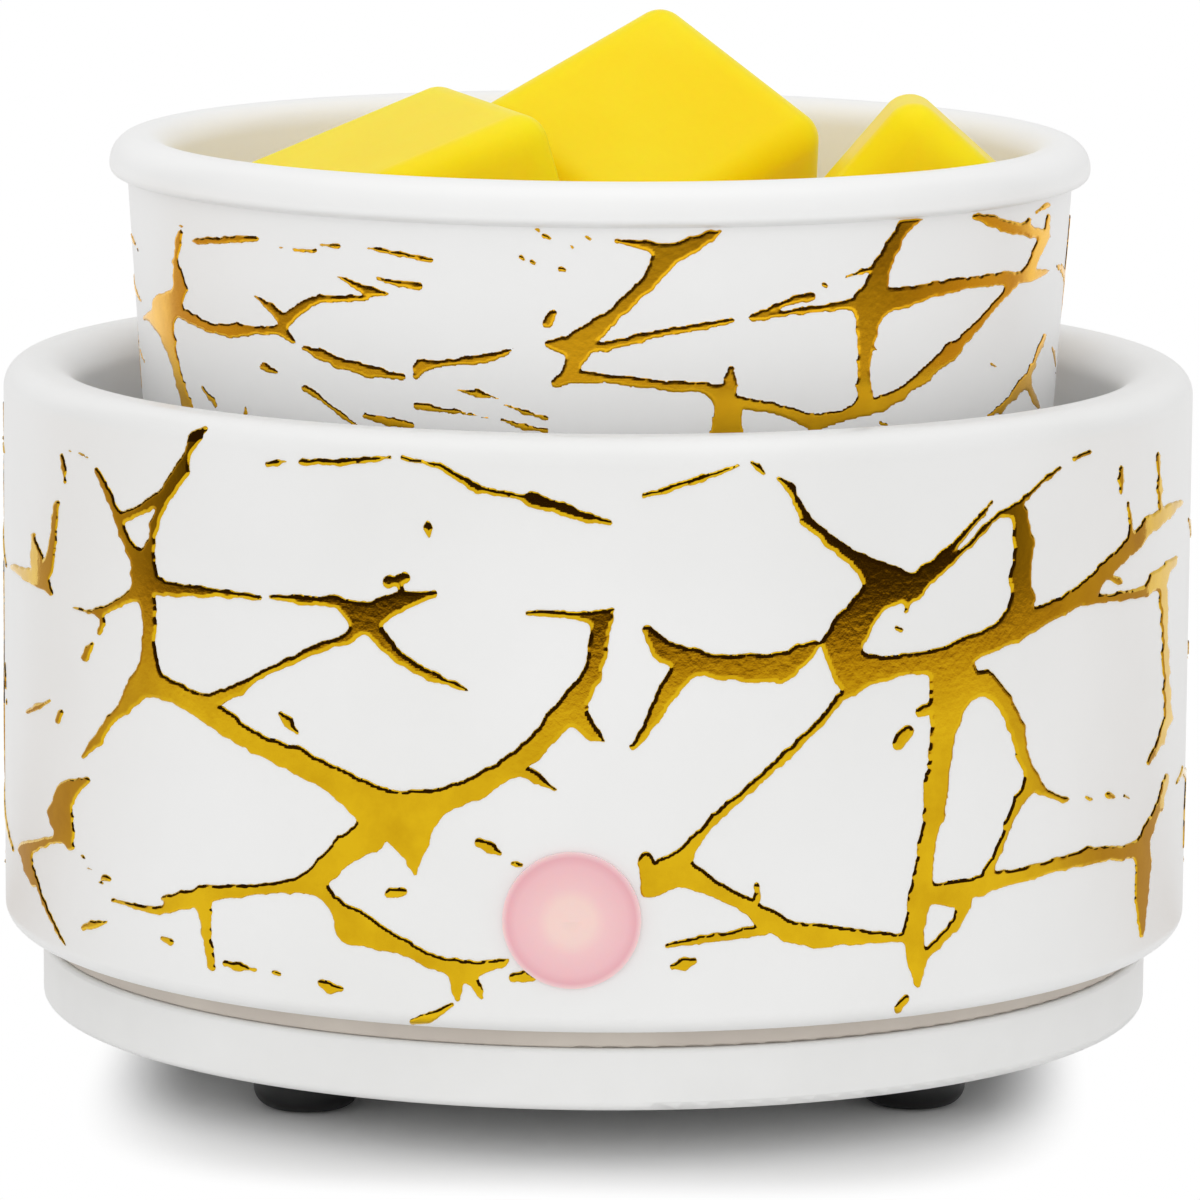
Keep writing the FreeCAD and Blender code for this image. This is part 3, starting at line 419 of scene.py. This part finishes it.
DISH_VEINS = {
    "left_post": [(180, 233, 5), (176, 262, 6), (180, 290, 14), (168, 307, 30), (163, 320, 24),
                  (169, 340, 14), (175, 362, 9), (182, 385, 9), (188, 407, 12)],
    "left_bulge": [(165, 312, 24), (152, 316, 9), (146, 317, 6)],
    "left_run": [(186, 315, 13), (212, 328, 9), (236, 331, 16), (262, 331, 8), (282, 329, 14),
                 (294, 342, 5)],
    "left_spur": [(284, 320, 11), (270, 306, 7), (255, 296, 4)],
    "left_branch": [(286, 322, 15), (302, 307, 10), (320, 299, 9), (350, 298, 7), (368, 299, 5)],
    "left_dash_a": [(338, 277, 3), (352, 283, 6), (368, 291, 11), (387, 294, 5)],
    "left_dash_b": [(377, 278, 4), (400, 283, 7), (419, 287, 8)],
    "left_dash_c": [(195, 241, 7), (225, 240, 8), (256, 239, 6)],
    "left_dash_d": [(280, 248, 2), (295, 250, 3), (315, 251, 4)],
    "left_dash_e": [(322, 245, 4), (339, 246, 3)],
    "left_dash_f": [(368, 248, 3), (400, 254, 5), (430, 260, 6)],
    "low_dash_a": [(304, 348, 5), (318, 353, 11), (340, 363, 12), (370, 371, 13), (402, 377, 9)],
    "low_dash_b": [(416, 377, 7), (421, 366, 14), (450, 362, 7), (485, 359, 11), (505, 353, 6),
                   (513, 349, 3)],
    "low_dash_c": [(306, 388, 8), (325, 402, 5), (345, 417, 5), (356, 425, 4)],
    "low_dash_d": [(367, 416, 8), (390, 421, 9), (410, 425, 10)],
    "low_dash_e": [(418, 406, 9), (440, 409, 7), (470, 414, 3), (489, 418, 3)],
    "low_dash_f": [(458, 390, 4), (478, 393, 7), (500, 399, 3)],
    "low_dash_g": [(502, 404, 3), (525, 412, 5), (546, 418, 5)],
    "low_dash_h": [(502, 420, 4), (525, 427, 6), (546, 430, 7)],
    "low_dash_i": [(203, 387, 4), (211, 398, 6), (217, 406, 4)],
    "low_dash_j": [(264, 366, 10), (276, 372, 6)],
    "low_dash_k": [(246, 406, 4), (246, 414, 7)],
    "mid_blob": [(552, 314, 9), (548, 323, 12)],
    "hub_core": [(572, 368, 18), (577, 352, 24), (562, 344, 16), (549, 344, 9)],
    "hub_up": [(578, 342, 24), (599, 327, 20), (622, 307, 14), (647, 283, 16), (664, 261, 24)],
    "hub_up_left": [(664, 252, 16), (645, 245, 9), (616, 241, 4)],
    "hub_up_right": [(668, 256, 22), (692, 245, 17), (710, 236, 11), (720, 231, 4)],
    "hub_right": [(590, 348, 14), (607, 346, 10), (640, 338, 9), (676, 330, 7), (705, 326, 8),
                  (733, 320, 4)],
    "hub_low": [(556, 383, 11), (568, 376, 16), (600, 378, 11), (660, 385, 11), (705, 388, 12),
                (722, 396, 24), (728, 412, 28), (726, 434, 36)],
    "low_spur": [(730, 386, 16), (731, 369, 9)],
    "low_right": [(738, 402, 14), (770, 407, 12), (800, 417, 14), (816, 423, 18), (834, 418, 13),
                  (850, 413, 13), (864, 406, 22)],
    "right_post": [(923, 216, 6), (905, 226, 12), (893, 245, 14), (882, 266, 18), (875, 286, 22),
                   (869, 305, 36), (867, 330, 22), (864, 360, 14), (863, 385, 14), (866, 405, 20)],
    "right_run": [(880, 302, 26), (905, 297, 20), (935, 289, 16), (960, 284, 14), (1000, 279, 13),
                  (1028, 276, 13), (1048, 271, 4)],
    "right_rise": [(1028, 272, 12), (1037, 252, 9), (1045, 236, 9), (1048, 216, 4)],
    "right_crest": [(975, 217, 7), (992, 220, 13), (1010, 228, 12), (1030, 231, 11), (1043, 232, 8)],
    "right_tuft": [(1026, 226, 8), (1029, 220, 4)],
    "right_tip": [(1037, 212, 3), (1047, 205, 6)],
    "right_back": [(856, 304, 14), (830, 307, 8), (800, 311, 6), (765, 316, 7), (752, 318, 5)],
    "right_dash": [(753, 317, 6), (775, 307, 7), (795, 299, 8), (811, 296, 9)],
    "right_dash_up": [(846, 277, 3), (862, 272, 5), (874, 268, 6)],
    "right_slope": [(1012, 283, 12), (1004, 294, 6), (985, 316, 7), (965, 338, 11), (950, 352, 18),
                    (925, 374, 14), (900, 394, 12), (879, 405, 18)],
    "edge_up": [(1025, 381, 11), (1032, 366, 5), (1044, 335, 3)],
    "edge_down": [(1023, 382, 10), (1012, 396, 8), (998, 410, 8), (989, 416, 5)],
    "edge_side": [(1027, 386, 7), (1034, 400, 6), (1038, 407, 4)],
}
DISH_SPOTS = [(538, 230, 5), (547, 237, 8), (588, 238, 6), (572, 247, 3), (563, 270, 6), (522, 258, 3),
              (533, 262, 4), (883, 424, 8), (993, 365, 6), (825, 285, 4), (877, 350, 4), (181, 226, 3)]

# Side panels, hidden in the photo: strokes in tenths of a millimetre, from the panel's middle and
# down from its top
BODY_SIDE_VEINS = {
    "bridge": [(-106, 158, 5), (-80, 166, 10), (-45, 178, 13), (0, 186, 18), (50, 199, 12),
               (85, 212, 9), (108, 218, 5)],
    "riser": [(4, 182, 14), (14, 140, 9), (6, 96, 7), (20, 52, 4)],
    "drop": [(2, 190, 18), (26, 240, 11), (18, 310, 10), (40, 380, 11), (22, 440, 16), (6, 470, 18)],
    "low_run": [(-164, 438, 4), (-120, 432, 9), (-60, 446, 12), (4, 472, 18),
                (70, 498, 13), (120, 512, 10), (158, 522, 4)],
    "low_spur": [(-58, 448, 11), (-78, 480, 8), (-84, 524, 4)],
    "speck_a": [(-60, 300, 4), (-48, 306, 8), (-38, 315, 4)],
    "speck_b": [(84, 330, 5), (92, 342, 8), (95, 355, 4)],
    "speck_c": [(60, 92, 4), (72, 96, 7), (90, 97, 3)],
    "speck_d": [(-20, 548, 4), (-6, 552, 8), (10, 553, 4)],
}
BODY_SIDE_SPOTS = [(-30, 322, 5), (104, 368, 5), (48, 86, 4), (26, 560, 5)]
DISH_SIDE_VEINS = {
    "run": [(-134, 80, 4), (-100, 86, 8), (-60, 98, 11), (-20, 112, 15), (40, 118, 10),
            (80, 124, 8), (112, 128, 4)],
    "drop": [(-18, 114, 14), (-4, 150, 9), (18, 190, 8), (30, 232, 5)],
    "rise": [(-58, 96, 10), (-44, 66, 7), (-40, 36, 4)],
    "dash_a": [(50, 62, 3), (72, 66, 7), (96, 68, 4)],
    "dash_b": [(-120, 170, 4), (-98, 180, 8), (-74, 196, 5)],
    "dash_c": [(66, 186, 4), (84, 192, 7), (104, 194, 4)],
}
DISH_SIDE_SPOTS = [(112, 72, 4), (-60, 206, 5), (48, 180, 4)]

# How the strokes become foil: mesh step on the wall, half width of a seen panel and of a side panel,
# then in stroke units the softness of joins, the width of the rounded edge, and the ragged edge's
# depth and fineness
VEIN_STEP = 0.23 * MM
VEIN_EDGE = math.radians(84)
SIDE_EDGE = math.radians(20)
TENTH = 0.1 * MM
VEIN_BLEND = 3.5
VEIN_DOME = 1.5
VEIN_RAGGED = 2.4
VEIN_GRAIN = 0.085
RAGGED_REACH = 8.0
STROKE_MARGIN = 14.0
FAR_AWAY = -99.0
UNTOUCHED = -50.0


class Wall:
    """Outer wall of revolution: a straight side that may round off at its two ends."""

    def __init__(self, low, high, radius_low, radius_high, round_low=0.0, round_high=0.0):
        self.low, self.high = low, high
        self.radius_low, self.radius_high = radius_low, radius_high
        self.round_low, self.round_high = round_low, round_high

    def drawn_in(self, z):
        """How far the rounded ends draw the wall in at a height."""
        total = 0.0 * z
        for size, past in ((self.round_low, self.low + self.round_low - z),
                           (self.round_high, z - self.high + self.round_high)):
            if size > 0.0:
                share = np.clip(past / size, 0.0, 1.0)
                total = total + size * (1.0 - np.sqrt(1.0 - share * share))
        return total

    def place(self, angle, z, lift):
        """Points on the wall: angle from the front towards +X, height, and lift off the wall."""
        share = (z - self.low) / (self.high - self.low)
        r = self.radius_low + (self.radius_high - self.radius_low) * share + lift - self.drawn_in(z)
        return np.stack([r * np.sin(angle), -r * np.cos(angle), z + 0 * r], axis=-1)


def to_pixels(points):
    """Photo pixels of points in the frame."""
    view = np.array(camera_matrix().inverted())
    local = points @ view[:3, :3].T + view[:3, 3]
    u = CENTRE_PX[0] + FOCAL_PX * local[..., 0] / -local[..., 2]
    v = CENTRE_PX[1] - FOCAL_PX * local[..., 1] / -local[..., 2]
    return u, v


def vein_field(u, v, strokes, spots):
    """Signed distance to the nearest stroke, positive inside; a spot is a very short stroke."""
    field = np.full(u.shape, FAR_AWAY)
    legs = []
    for stroke in strokes.values():
        legs.extend(zip(stroke, stroke[1:]))
    for x, y, width in spots:
        legs.append(((x - width * 0.35, y - 1, width * 0.8), (x + width * 0.35, y + 1, width * 0.7)))
    for (x0, y0, w0), (x1, y1, w1) in legs:
        reach = max(w0, w1) / 2 + STROKE_MARGIN
        near = (u > min(x0, x1) - reach) & (u < max(x0, x1) + reach)
        near &= (v > min(y0, y1) - reach) & (v < max(y0, y1) + reach)
        if not near.any():
            continue
        px, py = u[near] - x0, v[near] - y0
        dx, dy = x1 - x0, y1 - y0
        along = np.clip((px * dx + py * dy) / (dx * dx + dy * dy), 0.0, 1.0)
        away = np.hypot(px - along * dx, py - along * dy)
        inside = (w0 + (w1 - w0) * along) / 2 - away
        before = field[near]
        blend = np.clip(0.5 + 0.5 * (before - inside) / VEIN_BLEND, 0.0, 1.0)
        joined = inside + (before - inside) * blend + VEIN_BLEND * blend * (1.0 - blend)
        field[near] = np.where(before < UNTOUCHED, inside, joined)
    return field


def ragged(field, u, v):
    """Roughens the edges of the veins with seeded noise."""
    rough = field.copy()
    for i, j in np.argwhere(field > -RAGGED_REACH):
        x, y = u[i, j] * VEIN_GRAIN, v[i, j] * VEIN_GRAIN
        coarse = noise.noise(Vector((x, y, 3.7)))
        fine = noise.noise(Vector((x * 2.7, y * 2.7, 8.1)))
        rough[i, j] += VEIN_RAGGED * (0.75 * coarse + 0.45 * fine)
    return rough


def vein_mesh(name, wall, strokes, spots, turn, body, finish, half=VEIN_EDGE):
    """Closed foil patches on a wall, turned about Z.

    A seen panel takes its strokes from photo pixels, a narrow side panel from lengths along the wall.
    """
    columns = int(2 * half * wall.radius_high / VEIN_STEP)
    rows = int((wall.high - wall.low) / VEIN_STEP)
    angles = np.linspace(-half, half, columns + 1) + CAMERA_AZIMUTH
    heights = np.linspace(wall.low, wall.high, rows + 1)
    angle, height = np.meshgrid(angles, heights)
    if half == VEIN_EDGE:
        u, v = to_pixels(wall.place(angle, height, 0.0))
    else:
        u = (angle - CAMERA_AZIMUTH) * wall.radius_high / TENTH
        v = (wall.high - height) / TENTH
    field = ragged(vein_field(u, v, strokes, spots), u, v)
    field[[0, -1], :] = -1.0
    field[:, [0, -1]] = -1.0
    spots_at = []
    index = {}

    def corner(i, j):
        if (i, j) not in index:
            index[(i, j)] = len(spots_at)
            rise = min(field[i, j] / VEIN_DOME, 1.0)
            spots_at.append((angle[i, j], height[i, j], FOIL * math.sqrt(rise * (2.0 - rise))))
        return index[(i, j)]

    def crossing(a, b):
        key = (min(a, b), max(a, b))
        if key not in index:
            share = field[a] / (field[a] - field[b])
            index[key] = len(spots_at)
            spots_at.append((angle[a] + (angle[b] - angle[a]) * share,
                             height[a] + (height[b] - height[a]) * share, 0.0))
        return index[key]

    inside = field > 0
    busy = inside[:-1, :-1] | inside[1:, :-1] | inside[:-1, 1:] | inside[1:, 1:]
    faces = []
    for i, j in np.argwhere(busy):
        ring = [(i, j), (i, j + 1), (i + 1, j + 1), (i + 1, j)]
        face = []
        for a, b in zip(ring, ring[1:] + ring[:1]):
            if inside[a]:
                face.append(corner(*a))
            if inside[a] != inside[b]:
                face.append(crossing(a, b))
        faces.append(face)
    flat = np.array(spots_at)
    count = len(flat)
    top = wall.place(flat[:, 0] + turn, flat[:, 1], flat[:, 2])
    bottom = wall.place(flat[:, 0] + turn, flat[:, 1], -FOIL_ROOT)
    edges = {}
    for face in faces:
        for a, b in zip(face, face[1:] + face[:1]):
            if (b, a) in edges:
                del edges[(b, a)]
            else:
                edges[(a, b)] = True
    closed = list(faces)
    closed += [[p + count for p in reversed(face)] for face in faces]
    closed += [[b, a, a + count, b + count] for a, b in edges]
    made = add_mesh(name, np.concatenate([top, bottom]), closed, finish, FOIL_SHARP)
    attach(made, body)
    return made


# Finishes

GLAZE = mottled("white_glaze", (0.84, 0.84, 0.83), (0.88, 0.88, 0.875), 0.34, 30.0, grain=0.04)
# The dish's glaze is the white glaze made lighter: painted light that lifts the shade the drum's rim
# and well throw on the dish's lower wall
DISH_GLAZE_PAINTED_LIGHT = mottled("dish_glaze_painted_light", (0.89, 0.89, 0.885), (0.92, 0.92, 0.915), 0.34, 30.0, grain=0.04)
PLASTIC = mottled("white_plastic", (0.83, 0.83, 0.82), (0.88, 0.88, 0.87), 0.42, 60.0, grain=0.10)
TAUPE = mottled("warm_grey_seal", (0.58, 0.52, 0.46), (0.66, 0.60, 0.53), 0.7, 80.0, grain=0.15)
RUBBER = mottled("black_rubber", (0.006, 0.006, 0.006), (0.013, 0.013, 0.013), 0.45, 120.0, grain=0.2)
METAL = mottled("cast_aluminium", (0.52, 0.52, 0.53), (0.66, 0.66, 0.67), 0.38, 90.0, 1.0, 0.1)
STEEL = mottled("bare_steel", (0.48, 0.48, 0.50), (0.62, 0.62, 0.63), 0.3, 150.0, 1.0, 0.08)
MICA = mottled("mica", (0.42, 0.34, 0.24), (0.60, 0.52, 0.40), 0.4, 220.0)
BOARD = mottled("board_green", (0.02, 0.12, 0.05), (0.04, 0.18, 0.08), 0.4, 200.0)
NYLON = mottled("block_nylon", (0.70, 0.67, 0.58), (0.80, 0.77, 0.68), 0.5, 100.0)
SLEEVE = mottled("lead_sleeve", (0.62, 0.56, 0.48), (0.74, 0.68, 0.60), 0.55, 200.0)
SILICONE = mottled("silicone", (0.38, 0.07, 0.04), (0.48, 0.10, 0.06), 0.5, 150.0)
GOLD = gold_foil("gold_foil", (0.64, 0.37, 0.007), (0.76, 0.47, 0.010), 0.07)
SOFT_GOLD = gold_foil("soft_gold_foil", (0.86, 0.44, 0.012), (0.98, 0.54, 0.015), 0.20)
WAX = wax()
LENS = lamp_lens()
BY_SLOT = {
    "white_glaze": GLAZE, "white_plastic": PLASTIC, "warm_grey_seal": TAUPE, "black_rubber": RUBBER,
    "cast_aluminium": METAL, "bare_steel": STEEL, "pink_lens": LENS, "mica": MICA, "board_green": BOARD,
    "block_nylon": NYLON, "lead_sleeve": SLEEVE, "silicone": SILICONE, "yellow_wax": WAX}


def dress_nodes():
    """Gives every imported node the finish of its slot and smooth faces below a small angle."""
    slots = {part["node"]: part["material_slot"] for part in frame["record"]["subparts"]}
    for name, node in frame["nodes"].items():
        finish = BY_SLOT[slots[name]]
        node.data.materials.clear()
        node.data.materials.append(finish)
        node.data.shade_smooth()
        sharp = PLINTH_SHARP if name == "base_pan" else NODE_SHARP
        node.data.set_sharp_from_angle(angle=sharp)


# Turned pieces

RIM_WIDTH = 8.3 * MM
BODY_FOOT_ROUND = 2.0 * MM
BODY_RIM_ROUND = 2.9 * MM
BODY_MOUTH_ROUND = 4.0 * MM
BODY_EDGE_ROUND = 0.6 * MM
SKIRT_WALL = 6.5 * MM
PLATE_ABOVE_LEDGE = 4.0 * MM
LEDGE_THICK = 6.0 * MM
LEDGE_ROUND = 1.0 * MM
LEDGE_R = 47.7 * MM
LEDGE_TOP = DISH_BOTTOM - PLATE_ABOVE_LEDGE
LEDGE_UNDER = LEDGE_TOP - LEDGE_THICK


def add_body():
    """Ceramic drum; its skin sits a foil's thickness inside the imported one."""
    r = BODY_R - FOIL
    skirt = BODY_R - SKIRT_WALL
    well = BODY_R - RIM_WIDTH
    outline = rounded([
        (skirt, LEDGE_UNDER, 0), (skirt, BODY_BOTTOM, BODY_EDGE_ROUND),
        (r, BODY_BOTTOM, BODY_FOOT_ROUND), (r, BODY_TOP, BODY_RIM_ROUND),
        (well, BODY_TOP, BODY_MOUTH_ROUND), (well, LEDGE_TOP, BODY_EDGE_ROUND),
        (LEDGE_R, LEDGE_TOP, LEDGE_ROUND),
        (LEDGE_R, LEDGE_UNDER, LEDGE_ROUND), (skirt, LEDGE_UNDER, 0)])
    body = lathe("drum_body", outline, GLAZE)
    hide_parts("ceramic_body")
    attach(body, "base")


DISH_CREASE_R = 51.5 * MM
DISH_CREASE_DROP = 4.6 * MM
DISH_RIM_DROP = 4.1 * MM
DISH_FOOT_R = 49.2 * MM
DISH_MOUTH_R = 46.8 * MM
DISH_WALL = 4.6 * MM
DISH_FLOOR = 6.0 * MM
DISH_FOOT_ROUND = 3.5 * MM
DISH_CREASE_ROUND = 0.15 * MM
DISH_RIM_UNDER_ROUND = 1.0 * MM
DISH_RIM_ROUND = 3.0 * MM
DISH_MOUTH_ROUND = 3.2 * MM
DISH_INNER_ROUND = 7.0 * MM


def add_dish():
    """Wax dish: tapered wall, a crease under the flared rim, and a rounded inside."""
    floor = DISH_BOTTOM + DISH_FLOOR
    crease = DISH_TOP - DISH_CREASE_DROP
    outline = rounded([
        (0, DISH_BOTTOM, 0), (DISH_FOOT_R, DISH_BOTTOM, DISH_FOOT_ROUND),
        (DISH_CREASE_R - FOIL, crease, DISH_CREASE_ROUND),
        (DISH_R, DISH_TOP - DISH_RIM_DROP, DISH_RIM_UNDER_ROUND),
        (DISH_R, DISH_TOP, DISH_RIM_ROUND), (DISH_MOUTH_R, DISH_TOP, DISH_MOUTH_ROUND),
        (DISH_FOOT_R - DISH_WALL, floor, DISH_INNER_ROUND), (0, floor, 0)])
    # the dish takes the lighter glaze, painted light against the shade on its lower wall
    dish = lathe("wax_dish_bowl", outline, DISH_GLAZE_PAINTED_LIGHT)
    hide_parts("wax_dish")
    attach(dish, "dish")


# Stage

# Reach of the pot's shadow on the floor, and the share of it where the floor stays as lit
SHADOW_ACROSS = 0.0545
SHADOW_DEEP = 0.0765
SHADOW_HELD = 0.35
# Floor tone for light that it throws back, and as seen
FLOOR_BOUNCE = 0.88
FLOOR_SEEN = 0.82
FLOOR_HALF = 6.0
# Floor tones by distance as the gold sees them: white close by, brown and then dark further off
CARD_TONES = [(0.29, (0.94, 0.95, 0.95)), (0.335, (0.82, 0.75, 0.64)), (0.375, (0.55, 0.40, 0.32)),
              (0.40, (0.16, 0.10, 0.085)), (0.425, (0.03, 0.018, 0.015))]
DARK_TONE = (0.03, 0.018, 0.015)
SIDE_TONE = (0.55, 0.42, 0.32)
SIDE_START = math.radians(68)
SIDE_FULL = math.radians(105)
CARD_SPAN = math.radians(125)
CARD_STRIPS = 48
CARD_NEAR = 0.10
CARD_FAR = 5.0
CARD_LIFT = 0.001
CARD_HEIGHT = 5.5
WORLD_LEVEL = 0.835
# Lamps: name, place, size and power; all aim at the pot's middle
LAMPS = [("top_softbox", (0.0, -0.1, 1.6), 1.4, 2.6),
         ("front_softbox", (-0.1, -2.2, 0.8), 1.6, 8.0)]
UNMIRRORED = "front_softbox"
LAMP_AIM = Vector((0, 0, 0.06))


def front_card(name, finish, inner, outer, start, end):
    """Curved card between two (radius, height) edges and two angles, seen by shiny surfaces only."""
    count = CARD_STRIPS
    points = []
    for k in range(count + 1):
        a = start + (end - start) * k / count
        for r, z in (inner, outer):
            points.append((r * math.sin(a), -r * math.cos(a), z))
    faces = [[2 * k, 2 * k + 1, 2 * k + 3, 2 * k + 2] for k in range(count)]
    card = add_mesh(name, points, faces, finish)
    card.visible_camera = False
    card.visible_diffuse = False
    card.visible_shadow = False
    card.visible_transmission = False


def plain_card(name, tone):
    """Card of one tone."""
    made, tree = material(name)[:2]
    glow = tree.nodes.new("ShaderNodeEmission")
    glow.inputs["Color"].default_value = (*tone, 1.0)
    tree.links.new(glow.outputs["Emission"], tree.nodes["Material Output"].inputs["Surface"])
    return made


def graded_card(name):
    """Floor card: its tone follows the distance from the pot, and turns brown towards the sides."""
    made, tree = material(name)[:2]
    place = tree.nodes.new("ShaderNodeTexCoord")
    reach = tree.nodes.new("ShaderNodeVectorMath")
    reach.operation = "LENGTH"
    tree.links.new(place.outputs["Object"], reach.inputs[0])
    apart = tree.nodes.new("ShaderNodeSeparateXYZ")
    tree.links.new(place.outputs["Object"], apart.inputs["Vector"])
    tones = ramp(tree, reach.outputs["Value"], CARD_TONES)
    turned = tree.nodes.new("ShaderNodeMapRange")
    turned.interpolation_type = "SMOOTHSTEP"
    turned.inputs["From Min"].default_value = -math.cos(SIDE_START)
    turned.inputs["From Max"].default_value = -math.cos(SIDE_FULL)
    sideways = join(tree, "DIVIDE", apart.outputs["Y"], reach.outputs["Value"])
    tree.links.new(sideways, turned.inputs["Value"])
    sided = tree.nodes.new("ShaderNodeMix")
    sided.data_type = "RGBA"
    tree.links.new(turned.outputs["Result"], sided.inputs["Factor"])
    tree.links.new(tones.outputs["Color"], sided.inputs[6])
    sided.inputs[7].default_value = (*SIDE_TONE, 1.0)
    glow = tree.nodes.new("ShaderNodeEmission")
    tree.links.new(sided.outputs[2], glow.inputs["Color"])
    tree.links.new(glow.outputs["Emission"], tree.nodes["Material Output"].inputs["Surface"])
    return made


def join(tree, operation, first, second):
    """Math node on two sockets; returns its result."""
    node = tree.nodes.new("ShaderNodeMath")
    node.operation = operation
    tree.links.new(first, node.inputs[0])
    tree.links.new(second, node.inputs[1])
    return node.outputs["Value"]


def reach_share(tree, place, axis, reach):
    """Fourth power of the distance along one axis, as a share of a reach."""
    apart = tree.nodes.new("ShaderNodeSeparateXYZ")
    share = tree.nodes.new("ShaderNodeMath")
    share.operation = "DIVIDE"
    share.inputs[1].default_value = reach
    tree.links.new(place.outputs["Object"], apart.inputs["Vector"])
    tree.links.new(apart.outputs[axis], share.inputs[0])
    square = join(tree, "MULTIPLY", share.outputs["Value"], share.outputs["Value"])
    return join(tree, "MULTIPLY", square, square)


def white_floor():
    """Pale floor; past the pot's shadow the camera and shiny surfaces see it as plain white."""
    made, tree, shader = material("white_floor")
    shader.inputs["Roughness"].default_value = 1.0
    shader.inputs["Specular IOR Level"].default_value = 0.0
    path = tree.nodes.new("ShaderNodeLightPath")
    seen = join(tree, "MAXIMUM", path.outputs["Is Camera Ray"], path.outputs["Is Glossy Ray"])
    seen = join(tree, "MAXIMUM", seen, path.outputs["Is Transmission Ray"])
    tones = ramp(tree, seen, [(0.0, (FLOOR_BOUNCE,) * 3), (1.0, (FLOOR_SEEN,) * 3)])
    tree.links.new(tones.outputs["Color"], shader.inputs["Base Color"])
    place = tree.nodes.new("ShaderNodeTexCoord")
    across = reach_share(tree, place, "X", SHADOW_ACROSS)
    deep = reach_share(tree, place, "Y", SHADOW_DEEP)
    fade = tree.nodes.new("ShaderNodeMapRange")
    fade.interpolation_type = "SMOOTHSTEP"
    fade.inputs["From Min"].default_value = SHADOW_HELD
    fade.inputs["From Max"].default_value = 1.0
    tree.links.new(join(tree, "ADD", across, deep), fade.inputs["Value"])
    past = fade.outputs["Result"]
    white = tree.nodes.new("ShaderNodeEmission")
    white.inputs["Color"].default_value = (1.0, 1.0, 1.0, 1.0)
    white.inputs["Strength"].default_value = 1.0
    mix = tree.nodes.new("ShaderNodeMixShader")
    tree.links.new(join(tree, "MULTIPLY", past, seen), mix.inputs["Fac"])
    tree.links.new(shader.outputs["BSDF"], mix.inputs[1])
    tree.links.new(white.outputs["Emission"], mix.inputs[2])
    tree.links.new(mix.outputs["Shader"], tree.nodes["Material Output"].inputs["Surface"])
    return made


def add_stage():
    """Floor, and the two cards that the gold mirrors."""
    side = FLOOR_HALF
    corners = [(-side, -side, 0), (side, -side, 0), (side, side, 0), (-side, side, 0)]
    add_mesh("floor", corners, [[0, 1, 2, 3]], white_floor())
    graded = graded_card("graded_card")
    dark = plain_card("dark_card", DARK_TONE)
    near, far, top = (CARD_NEAR, CARD_LIFT), (CARD_FAR, CARD_LIFT), (CARD_FAR, CARD_HEIGHT)
    front_card("floor_card", graded, near, far, -CARD_SPAN, CARD_SPAN)
    front_card("wall_card", dark, far, top, -CARD_SPAN, CARD_SPAN)


def add_lights():
    """Even white surroundings and two soft lamps."""
    world = bpy.data.worlds.new("studio")
    world.use_nodes = True
    background = world.node_tree.nodes["Background"]
    background.inputs["Color"].default_value = (1.0, 1.0, 1.0, 1.0)
    background.inputs["Strength"].default_value = WORLD_LEVEL
    bpy.context.scene.world = world
    for name, place, size, power in LAMPS:
        data = bpy.data.lights.new(name, "AREA")
        data.shape = "DISK"
        data.size = size
        data.energy = power
        lamp = bpy.data.objects.new(name, data)
        lamp.location = place
        lamp.visible_glossy = name != UNMIRRORED
        lamp.rotation_euler = (LAMP_AIM - Vector(place)).to_track_quat("-Z", "Y").to_euler()
        bpy.context.scene.collection.objects.link(lamp)


dress_nodes()
add_body()
add_dish()
body_wall = Wall(BODY_BOTTOM, BODY_TOP, BODY_R - FOIL, BODY_R - FOIL, BODY_FOOT_ROUND, BODY_RIM_ROUND)
dish_wall = Wall(DISH_BOTTOM, DISH_TOP - DISH_CREASE_DROP, DISH_FOOT_R - FOIL, DISH_CREASE_R - FOIL)
for side_name, turn in (("front", 0.0), ("back", math.pi)):
    vein_mesh("drum_veins_" + side_name, body_wall, BODY_VEINS, BODY_SPOTS, turn, "base", GOLD)
    vein_mesh("dish_veins_" + side_name, dish_wall, DISH_VEINS, DISH_SPOTS, turn, "dish", SOFT_GOLD)
for side_name, turn in (("right", math.pi / 2), ("left", -math.pi / 2)):
    vein_mesh("drum_veins_" + side_name, body_wall, BODY_SIDE_VEINS, BODY_SIDE_SPOTS, turn, "base",
              GOLD, SIDE_EDGE)
    vein_mesh("dish_veins_" + side_name, dish_wall, DISH_SIDE_VEINS, DISH_SIDE_SPOTS, turn, "dish",
              SOFT_GOLD, SIDE_EDGE)
add_stage()
add_lights()
add_camera()
bpy.context.scene.view_settings.view_transform = "Standard"
